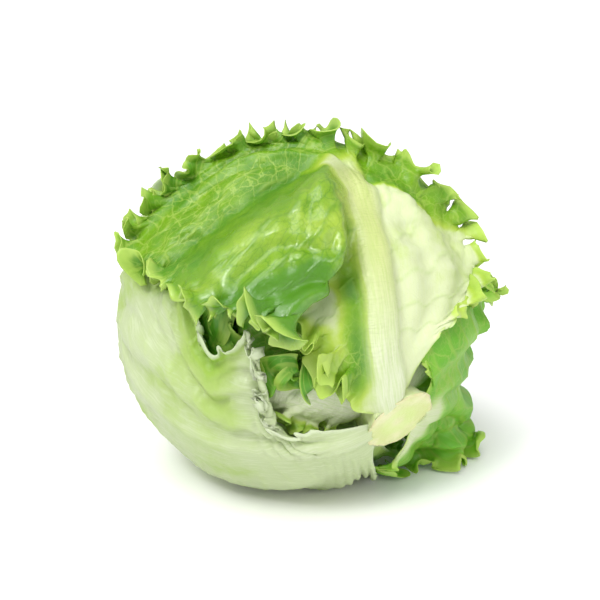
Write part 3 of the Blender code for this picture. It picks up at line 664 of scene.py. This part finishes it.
# Leaves from the outside in. Rows of points run from base to tip, which is given once: degrees from the
# stem, degrees round it and, on the edges, millimetres that the edge lifts. Strips are torn from an edge: how
# far along it from the base their middle is, how far they reach and half their width, in millimetres.
CROWN = Leaf(
    "leaf_crown", 11, tip=(118, -80, 10),
    rib=[(14.2, -46), (31, -36), (46, -27), (62, -19), (77, -13), (91, -11), (102, -20), (112, -44)],
    left=[(14.2, -80, 0), (22, -80, 2), (30, -69, 4), (40, -64, 5), (47, -60, 6), (53, -62, 8), (59, -66, 9),
        (65, -64, 9), (70, -66, 8), (74, -71, 8), (79, -75, 8), (85, -77, 9), (93, -79, 9), (101, -83, 9),
        (109, -86, 10), (114, -86, 10)],
    right=[(14.2, -6, 0), (20, -8, 2), (27, 0, 4), (34, 9, 6), (44, 26, 8), (54, 36, 9), (64, 39, 10),
        (76, 32, 12), (86, 18, 13), (95, 6, 13), (104, -6, 13), (113, -20, 12), (120, -36, 11),
        (123, -54, 11), (122, -70, 10)],
    depth=1, tip_depth=3, flare_reach=32, rib_rise=2.5, rib_width=9.5, ridges=(0, 4.5), shape=billow,
    tones=crown_tones, bend=0.65, curl_bend=0.7, lean=0.48, blister=0.95, pleats=(0.0, 0.9), calm=0.07,
    frilled=(1.25, 1.25), frill_wave=15, curl_wave=6.2, teeth=2.4, tooth_gap=3.0, lobes=0.8, lobe_wave=12,
    strips={
        -1: ((30, 8, 2.2), (37, 8, 2), (43, 12, 2.4), (49, 8, 2.2), (56, 5, 2.6), (63, 6, 2.2), (69, 7, 2.4),
             (76, 8, 2.4), (85, 7, 2.4), (94, 6, 2.2)),
        1: ((36, 5, 1.6), (45, 6, 1.8), (52, 5, 1.5), (61, 6, 2)),
    },
)
CRADLE = Leaf(
    "leaf_cradle", 23, tip=(145, -100, 5),
    rib=[(14.2, -122), (35, -120), (60, -122), (90, -120), (120, -112)],
    left=[(14.2, -160, 0), (18, -182, 1), (26, -198, 2), (42, -212, 3), (62, -220, 4), (82, -218, 5),
        (102, -208, 5), (121, -188, 5), (137, -156, 5), (146, -124, 5)],
    right=[(14.2, -100, 0), (23, -101, 1), (32, -102, 2), (39, -106, 3), (45, -102, 4), (49, -93, 5),
        (54, -82, 6), (59, -77, 7), (64, -80, 6), (70, -86, 4), (76, -83, 3), (84, -78, 2), (95, -70, 2),
        (110, -66, 2), (125, -68, 3), (138, -80, 4)],
    depth=0.5, tip_depth=3, flare_reach=20, frilled=(0.3, 0.5), torn=(0.4, 1.0), rise=CRADLE_RISE,
    bend=0.2, curl_bend=0.15, lean=0.2, teeth=2.0, tooth_gap=5.5, lobes=1.0, lobe_wave=13,
    pleats=(1.3, 1.9), blister=0.3, tones=cradle_tones, folds=1.7,
    strips={
        -1: (),
        1: ((34, 5, 1.2), (43, 8, 1.4), (50, 6, 1.3), (58, 10, 1.8), (66, 8, 1.6), (74, 11, 2.2),
            (82, 7, 1.6), (91, 9, 2), (101, 6, 1.6), (111, 7, 2), (124, 6, 2)),
    },
)
SKIRT = Leaf(
    "leaf_skirt", 31, tip=(97, 93, 11),
    rib=[(14.2, 80), (30, 90), (50, 97), (75, 95)],
    left=[(14.2, 42, 0), (16, 27, 0), (19, 10, 1), (23, -4, 3), (29, -8, 4), (40, 5, 8), (51, 26, 11),
        (60, 45, 12), (70, 60, 12), (80, 72, 12), (90, 82, 12)],
    right=[(14.2, 119, 0), (17, 142, 1), (24, 160, 3), (38, 154, 6), (50, 138, 9), (50, 130, 15),
        (48, 122, 26), (51, 115, 36), (60, 112, 37), (72, 112, 31), (85, 108, 22), (94, 101, 15)],
    depth=-2, tip_depth=2, flare_reach=44,
    bend=1.1, curl_bend=1.0, lean=0.5, tones=skirt_tones, crumple=5.0, blister=1.1, pleats=(1.8, 1.8),
    teeth=2.4, tooth_gap=3.6, curl_wave=6.5,
)
SHOULDER = Leaf(
    "leaf_shoulder", 53, tip=(166, -140, 8),
    rib=[(14.2, 30), (45, 38), (90, 42), (130, 42), (160, 38), (178, 20)],
    left=[(14.2, 10, 0), (25, -6, 0), (45, -14, 1), (80, -26, 3), (110, -42, 5), (134, -64, 6),
        (148, -92, 8), (158, -118, 8)],
    right=[(14.2, 50, 0), (25, 72, 2), (45, 94, 3), (80, 104, 4), (112, 108, 5), (136, 120, 6), (150, 146, 8),
        (160, 184, 8)],
    depth=8, tip_depth=6,
)
BACK = Leaf(
    "leaf_back", 61, tip=(170, -150, 8),
    rib=[(14.2, -178), (50, -170), (95, -168), (135, -170)],
    left=[(14.2, -196, 0), (25, -216, 1), (42, -232, 2), (72, -244, 4), (102, -250, 5), (128, -256, 6),
        (148, -264, 7), (160, -254, 8), (167, -225, 8), (170, -190, 8)],
    right=[(14.2, -162, 0), (40, -136, 1), (75, -112, 2), (110, -98, 4), (140, -88, 6), (158, -88, 8),
        (167, -112, 8)],
    depth=6, tip_depth=5,
)
INNER = Leaf(
    "leaf_inner", 73, tip=(88, -68, 6),
    rib=[(14.2, -55), (40, -52), (66, -58)],
    left=[(14.2, -68, 0), (23, -72, 2), (33, -73, 5), (41, -77, 8), (46, -85, 9), (52, -92, 9), (59, -95, 9),
        (67, -95, 9), (76, -89, 7), (84, -79, 6)],
    right=[(14.2, -42, 0), (30, -32, 2), (45, -27, 4), (62, -28, 5), (78, -42, 6)],
    depth=7, tip_depth=9, flare_reach=22, frill_wave=15,
    bend=1.25, curl_bend=1.2, lean=0.7, frill_reach=26, green_reach=(120, 120), green_tip=1, base_pale=0.1,
    crumple=6, calm=0.2, blister=1.1, pleats=(1.5, 1.5), teeth=2.3, tooth_gap=3.4, curl_wave=6.5,
)
WINDOW = Leaf(
    "leaf_window", 43, tip=(76, -86, 7),
    rib=[(14.2, -86), (24, -85), (35, -86), (48, -89), (62, -90)],
    left=[(14.2, -112, 0), (24, -118, 1), (31, -118, 2), (37, -112, 5), (42, -107, 6), (47, -108, 4),
        (55, -112, 4), (63, -110, 6), (72, -100, 7)],
    right=[(14.2, -80, 0), (24, -68, 0), (36, -58, 1), (50, -54, 3), (64, -58, 6), (73, -68, 7)],
    depth=12, tip_depth=14, flare_reach=20, frill_wave=15, rib_rise=3, rib_width=15,
    curl_bend=1.0, green_reach=(8, 14), green_tip=0.5, pleats=(0.2, 0.2),
)


class Ceiling:
    """How far from the middle of the head a leaf may reach under the leaves laid over it."""

    ROWS, COLUMNS, OPEN, SLOPE = 90, 120, 0.3, 1.1

    def __init__(self):
        self.reach = np.full((self.ROWS, self.COLUMNS), self.OPEN)

    def cells(self, p):
        """How far points are from the middle, and where they lie on the map of rows and columns."""
        r = lengths(p)
        theta, phi = angles(p / r[..., None])
        return r, theta / 180 * self.ROWS, (phi + 180) / 360 * self.COLUMNS

    def cover(self, p):
        r, u, v = self.cells(p)
        i = np.clip(u.astype(int), 0, self.ROWS - 1)
        np.minimum.at(self.reach, (i, v.astype(int) % self.COLUMNS), r)
        down = math.pi / self.ROWS * HEAD_RADIUS * self.SLOPE
        middle = (np.arange(self.ROWS) + 0.5) / self.ROWS * math.pi
        around = (TURN / self.COLUMNS * HEAD_RADIUS * np.sin(middle) * self.SLOPE)[:, None]
        for _ in range(self.ROWS // 2):
            c = self.reach
            c = np.minimum(c, np.minimum(np.roll(c, 1, 1), np.roll(c, -1, 1)) + around)
            below, above = rows_beside(c)
            self.reach = np.minimum(c, np.minimum(above, below) + down)
        for _ in range(CEILING_ROUNDS):
            c = self.reach
            below, above = rows_beside(c)
            level = (np.roll(c, 1, 1) + np.roll(c, -1, 1) + above + below) / 4
            self.reach = np.minimum(c, (c + level) / 2)

    def tuck(self, p, gap):
        """Points pressed down until they are this far under the leaves over them."""
        r, u, v = self.cells(p)
        u = np.clip(u - 0.5, 0, self.ROWS - 1.001)
        v = (v - 0.5) % self.COLUMNS
        i = u.astype(int)
        j = v.astype(int) % self.COLUMNS
        k = (j + 1) % self.COLUMNS
        du = u - i
        dv = v - np.floor(v)
        c = self.reach
        near_row = c[i, j] * (1 - dv) + c[i, k] * dv
        far_row = c[i + 1, j] * (1 - dv) + c[i + 1, k] * dv
        over = near_row * (1 - du) + far_row * du
        return p * (smooth_min(r, over - gap, CEILING_BLEND) / r)[..., None]


def cut_cone(segments, rings):
    """A cone of stem, with rings along it, up to its slanting cut, and the face of the cut."""
    bm = bmesh.new()
    outer = STEM_CUT_REACH + STEM_SPARE
    turn = Vector(AXIS).to_track_quat("Z", "Y").to_matrix().to_4x4()
    turn.translation = Vector(AXIS * (outer + STEM_INNER_REACH) / 2)
    bmesh.ops.create_cone(
        bm, cap_ends=True, segments=segments, depth=outer - STEM_INNER_REACH, matrix=turn,
        radius1=STEM_INNER_REACH * STEM_TAPER, radius2=outer * STEM_TAPER,
    )
    if rings:
        axis = Vector(AXIS)
        sides = [e for e in bm.edges if abs((e.verts[0].co - e.verts[1].co).dot(axis)) > STEM_SPARE / 2]
        bmesh.ops.subdivide_edges(bm, edges=sides, cuts=rings, use_grid_fill=True)
    made = bmesh.ops.bisect_plane(
        bm, geom=bm.verts[:] + bm.edges[:] + bm.faces[:], plane_co=CUT_MIDDLE, plane_no=CUT_NORMAL,
        clear_outer=True,
    )
    rim = [g for g in made["geom_cut"] if isinstance(g, bmesh.types.BMEdge)]
    return bm, bmesh.ops.contextual_create(bm, geom=rim)["faces"]


def stem_corner():
    """The lowest corner of the solid stem's box, before the head is moved into the row's frame."""
    bm = cut_cone(STEM_SEGMENTS, 0)[0]
    bmesh.ops.recalc_face_normals(bm, faces=bm.faces[:])
    middle = Vector(CUT_MIDDLE)
    rim = [e for e in bm.edges if all((v.co - middle).dot(CUT_NORMAL) > -1e-6 for v in e.verts)]
    bmesh.ops.bevel(
        bm, geom=rim, offset=STEM_EDGE_ROUND, segments=2, affect="EDGES", profile=0.5, material=-1,
    )
    corner = points_of(bm).min(axis=0)
    bm.free()
    return Vector(corner)


def points_of(bm):
    return np.array([v.co[:] for v in bm.verts])


def place(bm, points):
    for v, p in zip(bm.verts, points.tolist()):
        v.co = p


def face_outward(bm):
    bmesh.ops.recalc_face_normals(bm, faces=bm.faces[:])
    if bm.calc_volume(signed=True) < 0:
        bmesh.ops.reverse_faces(bm, faces=bm.faces[:])


def in_scene(name, data):
    ob = bpy.data.objects.new(name, data)
    bpy.context.scene.collection.objects.link(ob)
    return ob


def aimed(ob, direction):
    """Turn a lamp or a camera so that it looks along a direction."""
    ob.rotation_mode = "QUATERNION"
    ob.rotation_quaternion = direction.to_track_quat("-Z", "Y")


def corner_normals(points, quads):
    a, b, c, d = (points[quads[:, k]] for k in range(4))
    faces = np.cross(c - a, d - b)
    normals = np.zeros_like(points)
    for k in range(4):
        np.add.at(normals, quads[:, k], faces)
    return unit(normals)


def levelled(grid):
    """The grid with each value halfway to the mean of the four beside it."""
    edged = np.pad(grid, ((1, 1), (1, 1)) + ((0, 0),) * (grid.ndim - 2), "edge")
    mean = (edged[2:, 1:-1] + edged[:-2, 1:-1] + edged[1:-1, 2:] + edged[1:-1, :-2]) / 4
    return (grid + mean) / 2


def fine_blade(leaf, ceiling, covered):
    """A closed fine blade laid over the form of its solid, with its colour masks kept on its corners."""
    rows = FINE_ROWS
    shape = (rows + 1, 2 * FINE_COLUMNS + 1)
    bm = bmesh.new()
    bmesh.ops.create_grid(bm, x_segments=2 * FINE_COLUMNS, y_segments=rows, size=1)
    flat = points_of(bm)
    column = np.rint((flat[:, 0] + 1) * FINE_COLUMNS).astype(int)
    row = np.rint((flat[:, 1] + 1) / 2 * rows).astype(int)
    share = 1 - (1 - np.linspace(0, 1, FINE_COLUMNS + 1)) ** COLUMN_CROWDING
    y, x = np.meshgrid(np.linspace(0, 1, rows + 1), share, indexing="ij")
    right, right_masks = leaf.ruffled(x, y, 1)
    left, left_masks = leaf.ruffled(-x, y, -1)

    def joined(left, right):
        return np.hstack([left[:, :0:-1], right])[row, column]

    points = joined(left, right)
    masks = {name: joined(left_masks[name], values) for name, values in right_masks.items()}
    rib = leaf.rib_over(joined(-x, x), joined(y, y))
    if covered:
        points = points - unit(points) * (RIB_SINK * rib)[:, None]
        pressed = ceiling.tuck(points, FINE_TUCK_GAP + FINE_THICKNESS / 2)
        grid = np.ones(shape)
        grid[row, column] = lengths(pressed) / lengths(points)
        for _ in range(TUCK_ROUNDS):
            grid = np.minimum(grid, levelled(grid))
        points = points * grid[row, column][:, None]
    ceiling.cover(points)
    quads = np.array([[v.index for v in f.verts] for f in bm.faces])
    normals = corner_normals(points, quads)
    if np.sum(normals * unit(points)) < 0:
        bmesh.ops.reverse_faces(bm, faces=bm.faces[:])
        normals = -normals
    source = bm.verts.layers.int.new("source")
    for v in bm.verts:
        v[source] = v.index
    made = bmesh.ops.extrude_face_region(bm, geom=bm.faces[:], use_keep_orig=True)
    for g in made["geom"]:
        if isinstance(g, bmesh.types.BMVert):
            g[source] += len(points)
    came = np.array([v[source] for v in bm.verts])
    outer = came >= len(points)
    came = came % len(points)
    thin = EDGE_THICKNESS + (FINE_THICKNESS - EDGE_THICKNESS) * smooth(0, 3, masks["edge"])
    grid = np.zeros((*shape, 3))
    grid[row, column] = normals
    for _ in range(RIB_ROUNDS):
        grid = levelled(grid)
    straight = unit(grid[row, column])
    solid = points[came] + normals[came] * (np.where(outer, 0.5, -0.5) * thin[came])[:, None]
    solid = solid + straight[came] * (outer * rib[came])[:, None]
    lowest = leaf.rise + SOLE_CUT - HEAD_HEIGHT + np.where(outer, 0, FINE_THICKNESS)
    solid[:, 2] = np.maximum(solid[:, 2], lowest)
    place(bm, solid)
    bmesh.ops.remove_doubles(bm, verts=bm.verts[:], dist=SEAM_WELD)
    face_outward(bm)
    came = np.array([v[source] for v in bm.verts]) % len(points)
    return bm, {name: values[came] for name, values in masks.items()}


def kept(name, bm, material, node, masks=None):
    """The finished mesh moved into the row's frame, riding with the head in place of its solid."""
    bmesh.ops.translate(bm, verts=bm.verts[:], vec=CENTRE)
    mesh = bpy.data.meshes.new(name)
    bm.to_mesh(mesh)
    bm.free()
    for mask, values in (masks or {}).items():
        mesh.attributes.new(mask, "FLOAT", "POINT").data.foreach_set("value", values.astype(np.float32))
    mesh.shade_smooth()
    mesh.materials.append(material)
    ob = in_scene(name, mesh)
    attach(ob, "root")
    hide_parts(node)


class Nodes:
    """A node tree, with short calls to add and join nodes."""

    def __init__(self, tree):
        self.tree = tree
        tree.nodes.clear()

    def add(self, kind, inputs=None, **settings):
        node = self.tree.nodes.new(kind)
        for key, value in settings.items():
            setattr(node, key, value)
        for key, value in (inputs or {}).items():
            self.feed(node.inputs[key], value)
        return node

    def feed(self, socket, value):
        if isinstance(value, bpy.types.NodeSocket):
            self.tree.links.new(value, socket)
        else:
            socket.default_value = value

    def mask(self, name):
        return self.add("ShaderNodeAttribute", attribute_name=name).outputs["Fac"]

    def math(self, operation, *values):
        return self.add("ShaderNodeMath", dict(enumerate(values)), operation=operation).outputs[0]

    def plus(self, a, b):
        return self.math("ADD", a, b)

    def times(self, a, b):
        return self.math("MULTIPLY", a, b)

    def remap(self, value, low, high, to_low=0, to_high=1):
        ends = {"Value": value, "From Min": low, "From Max": high, "To Min": to_low, "To Max": to_high}
        return self.add("ShaderNodeMapRange", ends, interpolation_type="SMOOTHSTEP").outputs[0]

    def blend(self, share, a, b):
        a, b = ((*c, 1) if isinstance(c, tuple) else c for c in (a, b))
        return self.add("ShaderNodeMix", {0: share, 6: a, 7: b}, data_type="RGBA").outputs[2]

    def noise(self, place, scale, detail, rough):
        ends = {"Vector": place, "Scale": scale, "Detail": detail, "Roughness": rough}
        return self.add("ShaderNodeTexNoise", ends).outputs["Fac"]

    def swing(self, noise, amount):
        """A noise made to swing round nought."""
        return self.times(self.plus(noise, -0.5), amount)

    def on_blade(self, across, along):
        """The place on a blade in millimetres, stretched by these across and along it."""
        ends = {"X": self.times(self.mask("across"), across), "Y": self.times(self.mask("along"), along)}
        return self.add("ShaderNodeCombineXYZ", ends).outputs[0]

    def skin(self, colour, rough, **more):
        ends = {"Base Color": colour, "Roughness": rough}
        ends.update((key.replace("_", " "), value) for key, value in more.items())
        return self.add("ShaderNodeBsdfPrincipled", ends).outputs[0]

    def surface(self, shader):
        self.add("ShaderNodeOutputMaterial", {"Surface": shader})

    def bump(self, strength, distance, height):
        ends = {"Strength": strength, "Distance": distance, "Height": height}
        return self.add("ShaderNodeBump", ends).outputs[0]


def new_material(name):
    material = bpy.data.materials.new(name)
    material.use_nodes = True
    return material, Nodes(material.node_tree)


def vein_net():
    """Fine veins that net the blade between its side veins, from a place on the blade in millimetres."""
    group = bpy.data.node_groups.new("vein_net", "ShaderNodeTree")
    group.interface.new_socket("Place", in_out="INPUT", socket_type="NodeSocketVector")
    group.interface.new_socket("Mask", in_out="OUTPUT", socket_type="NodeSocketFloat")
    s = Nodes(group)
    place = s.add("NodeGroupInput").outputs["Place"]
    warp = s.add("ShaderNodeTexNoise", {"Vector": place, "Scale": NET_WARP_SCALE, "Detail": 2})
    ends = {0: warp.outputs["Color"], 1: NET_WARP, 2: place}
    warped = s.add("ShaderNodeVectorMath", ends, operation="MULTIPLY_ADD").outputs[0]
    lines = []
    for finer, strength in NET_LAYERS:
        ends = {"Vector": warped, "Scale": finer / NET_CELL}
        cells = s.add("ShaderNodeTexVoronoi", ends, feature="DISTANCE_TO_EDGE")
        lines.append(s.remap(cells.outputs["Distance"], 0, NET_LINE, strength, 0))
    s.add("NodeGroupOutput", {"Mask": s.math("MAXIMUM", *lines)})
    return group


def leaf_material(name, tones, rib_colour, rim_glow_colour, gloss=0.36, through=0.3):
    """Fresh leaf: pale rib and base, green towards its edge, netted with veins, light passing through."""
    material, s = new_material(name)
    place = s.add("ShaderNodeTexCoord").outputs["Object"]
    rib, belly = s.mask("rib"), s.mask("belly")
    patchy = s.noise(place, *SMALL_PATCHES)
    tone = s.plus(s.mask("green"), s.swing(s.noise(place, *BROAD_PATCHES), 0.6))
    tone = s.plus(tone, s.swing(patchy, 0.5))
    colour = tones[0]
    for step, greener in zip(TONE_STEPS, tones[1:]):
        colour = s.blend(s.remap(tone, *step), colour, greener)

    net_veins = s.add("ShaderNodeGroup", node_tree=NET)
    s.feed(net_veins.inputs["Place"], s.on_blade(1, 1))
    lines = net_veins.outputs["Mask"]
    netted = s.times(lines, s.remap(tone, 0.3, 0.8, 0.1, 0.8))
    vein = s.math("MAXIMUM", netted, s.times(s.mask("vein"), 0.7))
    vein = s.times(vein, s.math("SUBTRACT", s.mask("net"), s.times(belly, 0.15)))
    vein_colour = s.blend(s.remap(tone, 0.2, 0.8), VEIN_SOFT, VEIN_YELLOW)
    # On the billow the veins turn dark green: painted shade in the sunken veins
    colour = s.blend(vein, colour, s.blend(belly, vein_colour, VEIN_GROOVE_SHADE))

    grain = s.noise(s.on_blade(*GRAIN_STRETCH), *GRAIN)
    up_rib = s.remap(s.mask("along"), *RIB_FOOT)
    rib_shade = tuple(c * k for c, k in zip(rib_colour, RIB_SHADING))
    shaded = s.blend(up_rib, RIB_WHITE_SHADED, rib_shade)
    ribbed = s.blend(s.remap(grain, 0.38, 0.62), shaded, s.blend(up_rib, RIB_WHITE, rib_colour))
    colour = s.blend(s.times(rib, 0.85), colour, ribbed)
    # Lighter rim near the edge: partly its own colour, partly painted glow of light through the thin edge
    colour = s.blend(s.remap(s.mask("edge"), *EDGE_WIDTH, 0.75, 0), colour, rim_glow_colour)
    streak = s.times(s.remap(grain, 0.45, 0.68), s.remap(tone, 0, 0.45, 0.5, 0))
    colour = s.blend(s.times(streak, s.math("SUBTRACT", 1, rib)), colour, STREAK_WHITE)

    wrinkle = s.times(s.noise(s.on_blade(*WRINKLE_STRETCH), *WRINKLES), rib)
    crinkle = s.noise(place, *CRINKLES)
    height = s.times(grain, GRAIN_HEIGHT)
    for bumps, size in ((crinkle, CRINKLE_HEIGHT), (lines, NET_HEIGHT), (wrinkle, WRINKLE_HEIGHT),
                        (s.times(crinkle, belly), BELLY_HEIGHT)):
        height = s.plus(height, s.times(bumps, size))
    rough = s.remap(patchy, 0.3, 0.7, gloss - 0.06, gloss + 0.12)
    skin = s.skin(
        colour, s.math("SUBTRACT", rough, s.times(belly, 0.2)), Normal=s.bump(0.4, LEAF_BUMP, height),
        Coat_Weight=s.times(belly, BELLY_COAT), Coat_Roughness=COAT_ROUGHNESS,
    )
    lit = s.blend(THROUGH_SHARE, colour, s.blend(s.remap(tone, 0.1, 0.8), THROUGH_PALE, THROUGH_GREEN))
    behind = s.add("ShaderNodeBsdfTranslucent", {"Color": lit}).outputs[0]
    s.surface(s.add("ShaderNodeMixShader", {0: through, 1: skin, 2: behind}).outputs[0])
    return material


def fine_stem():
    """The stem with leaf scars down its side and a rough, slightly hollow cut, and masks for its cut face."""
    bm, face = cut_cone(FINE_STEM_SEGMENTS, FINE_STEM_RINGS)
    hub = bmesh.ops.poke(bm, faces=face)["verts"][0]
    bmesh.ops.subdivide_edges(bm, edges=hub.link_edges[:], cuts=STEM_FACE_RINGS)
    bmesh.ops.recalc_face_normals(bm, faces=bm.faces[:])
    points = points_of(bm)
    on_face = (points - CUT_MIDDLE) @ CUT_NORMAL > -STEM_FACE_DEPTH
    along = points @ AXIS
    radial = points - along[:, None] * AXIS
    round_stem = np.arctan2(radial @ POLE_RIGHT, radial @ POLE_UP)
    share = lengths(radial) / (along * STEM_TAPER)
    flutes = 0.5 * (np.sin(5 * round_stem + math.radians(40)) + random_waves(points, 301, 9 * MM))
    rough = random_waves(points, 302, 4 * MM, 9)
    at_side = smooth(0.9, 1.0, share)
    points = points + unit(radial) * (at_side * (STEM_FLUTE * flutes + STEM_ROUGHNESS * rough))[:, None]
    dish = -STEM_DISH * (1 - share**2) - STEM_RIM_DROP * at_side
    dish = dish + STEM_FACE_ROUGHNESS * rough * smooth(0.55, 0.95, share)
    points = points + CUT_NORMAL * np.where(on_face, dish, 0)[:, None]
    place(bm, points)
    bmesh.ops.triangulate(bm, faces=bm.faces[:])
    ring = bell((share - 0.35) / 0.22)
    shares = {"face": 1, "rim": smooth(0.86, 0.99, share), "middle": ring}
    return bm, {name: on_face * value for name, value in shares.items()}


def stem_material():
    """Pale green stem, with a moist yellowish cut that browns at its rim."""
    material, s = new_material("cut_stem")
    place = s.add("ShaderNodeTexCoord").outputs["Object"]
    broad = s.noise(place, *STEM_PATCHES)
    fine = s.noise(place, *STEM_FIBRES)
    side = s.blend(s.remap(broad, 0.35, 0.7), *STEM_SIDE)
    cut = s.blend(s.remap(broad, 0.35, 0.65), *STEM_CUT)
    cut = s.blend(s.remap(s.mask("middle"), 0, 1, 0, 0.55), cut, STEM_MIDDLE)
    colour = s.blend(s.mask("face"), side, cut)
    colour = s.blend(s.times(s.mask("rim"), s.remap(fine, 0.35, 0.6, 0.15, 0.7)), colour, STEM_BROWN)
    bump = s.bump(0.5, STEM_BUMP, fine)
    s.surface(s.skin(colour, 0.5, Normal=bump, Subsurface_Weight=0.2, Subsurface_Radius=STEM_GLOW))
    return material


def heart_mesh(ceiling):
    """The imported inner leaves, as one bumpy body under all the blades."""
    bm = bmesh.new()
    bmesh.ops.create_uvsphere(bm, u_segments=160, v_segments=90, radius=1)
    d = unit(points_of(bm))
    reach = HEART_RADIUS + (HEART_UNDER_STEM - HEART_RADIUS) * smooth(34, 17, angles(d)[0])
    reach = reach - HEART_SINK + HEART_BUMPS * random_waves(d * HEAD_RADIUS, 5, 24 * MM)
    place(bm, grounded(ceiling.tuck(d * reach[:, None], HEART_GAP), HEART_RISE))
    face_outward(bm)
    return bm


def room():
    """A white floor and white light from all round."""
    bm = bmesh.new()
    bmesh.ops.create_grid(bm, x_segments=1, y_segments=1, size=FLOOR_SIZE)
    mesh = bpy.data.meshes.new("floor")
    bm.to_mesh(mesh)
    bm.free()
    material, s = new_material("floor")
    s.surface(s.skin(FLOOR_WHITE, 0.9))
    mesh.materials.append(material)
    floor = in_scene("floor", mesh)
    world = bpy.data.worlds.new("studio")
    bpy.context.scene.world = world
    world.use_nodes = True
    background = world.node_tree.nodes["Background"]
    background.inputs["Color"].default_value = (1, 1, 1, 1)
    background.inputs["Strength"].default_value = SKY_STRENGTH


def lamp(name, kind, place, energy, **settings):
    """A lamp that shines at the middle of the head."""
    data = bpy.data.lights.new(name, kind)
    data.energy = energy
    for key, value in settings.items():
        setattr(data, key, value)
    ob = in_scene(name, data)
    ob.location = place
    aimed(ob, CENTRE - ob.location)


def camera():
    data = bpy.data.cameras.new("camera")
    data.lens = LENS
    data.sensor_width = SENSOR
    ob = in_scene("camera", data)
    ob.location = CENTRE + Vector(AIM_RIGHT * RIGHT + AIM_UP * UP) + Vector(NEAR) * CAMERA_DISTANCE
    aimed(ob, Vector(-NEAR))
    bpy.context.scene.camera = ob


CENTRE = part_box("stem")[0] - stem_corner()
NET = vein_net()
crown_green = leaf_material("crown_blade", GREEN_TONES, RIB_YELLOW, EDGE_GREEN_GLOW, through=0.33)
skirt_green = leaf_material("skirt_blade", SKIRT_TONES, RIB_WHITE, EDGE_GREEN_GLOW, through=0.42)
window_pale = leaf_material("window_blade", GREEN_TONES, RIB_WHITE, EDGE_GREEN_GLOW)
pale_leaf = leaf_material("pale_blade", PALE_TONES, RIB_PALE, EDGE_PALE_GLOW, gloss=0.34)
inner_green = leaf_material("inner_blade", INNER_TONES, RIB_PALE, EDGE_GREEN_GLOW)
heart_pale = leaf_material("heart_blade", PALE_TONES, RIB_PALE, EDGE_PALE_GLOW)
ceiling = Ceiling()
for leaf, slot, material in (
    (CROWN, "green_leaf", crown_green),
    (CRADLE, "pale_leaf", pale_leaf),
    (SKIRT, "green_leaf", skirt_green),
    (BACK, "pale_leaf", pale_leaf),
    (SHOULDER, "pale_leaf", pale_leaf),
    (INNER, "green_leaf", inner_green),
    (WINDOW, "green_leaf", window_pale),
):
    blade, masks = fine_blade(leaf, ceiling, leaf is not CROWN)
    kept(leaf.name + "_blade", blade, material, leaf.name, masks)
stem, stem_masks = fine_stem()
kept("stem_cut", stem, stem_material(), "stem", stem_masks)
kept("heart_leaves", heart_mesh(ceiling), heart_pale, "heart")
room()
lamp("high_key", "SUN", (-0.35, -0.5, 1.4), 2.3, angle=0.9)
lamp("key", "AREA", (-0.45, -0.75, 1.0), 5, size=0.25)
lamp("fill", "AREA", (0.7, -0.45, 0.3), 1.5, size=0.5)
camera()
bpy.context.scene.view_settings.view_transform = "Standard"
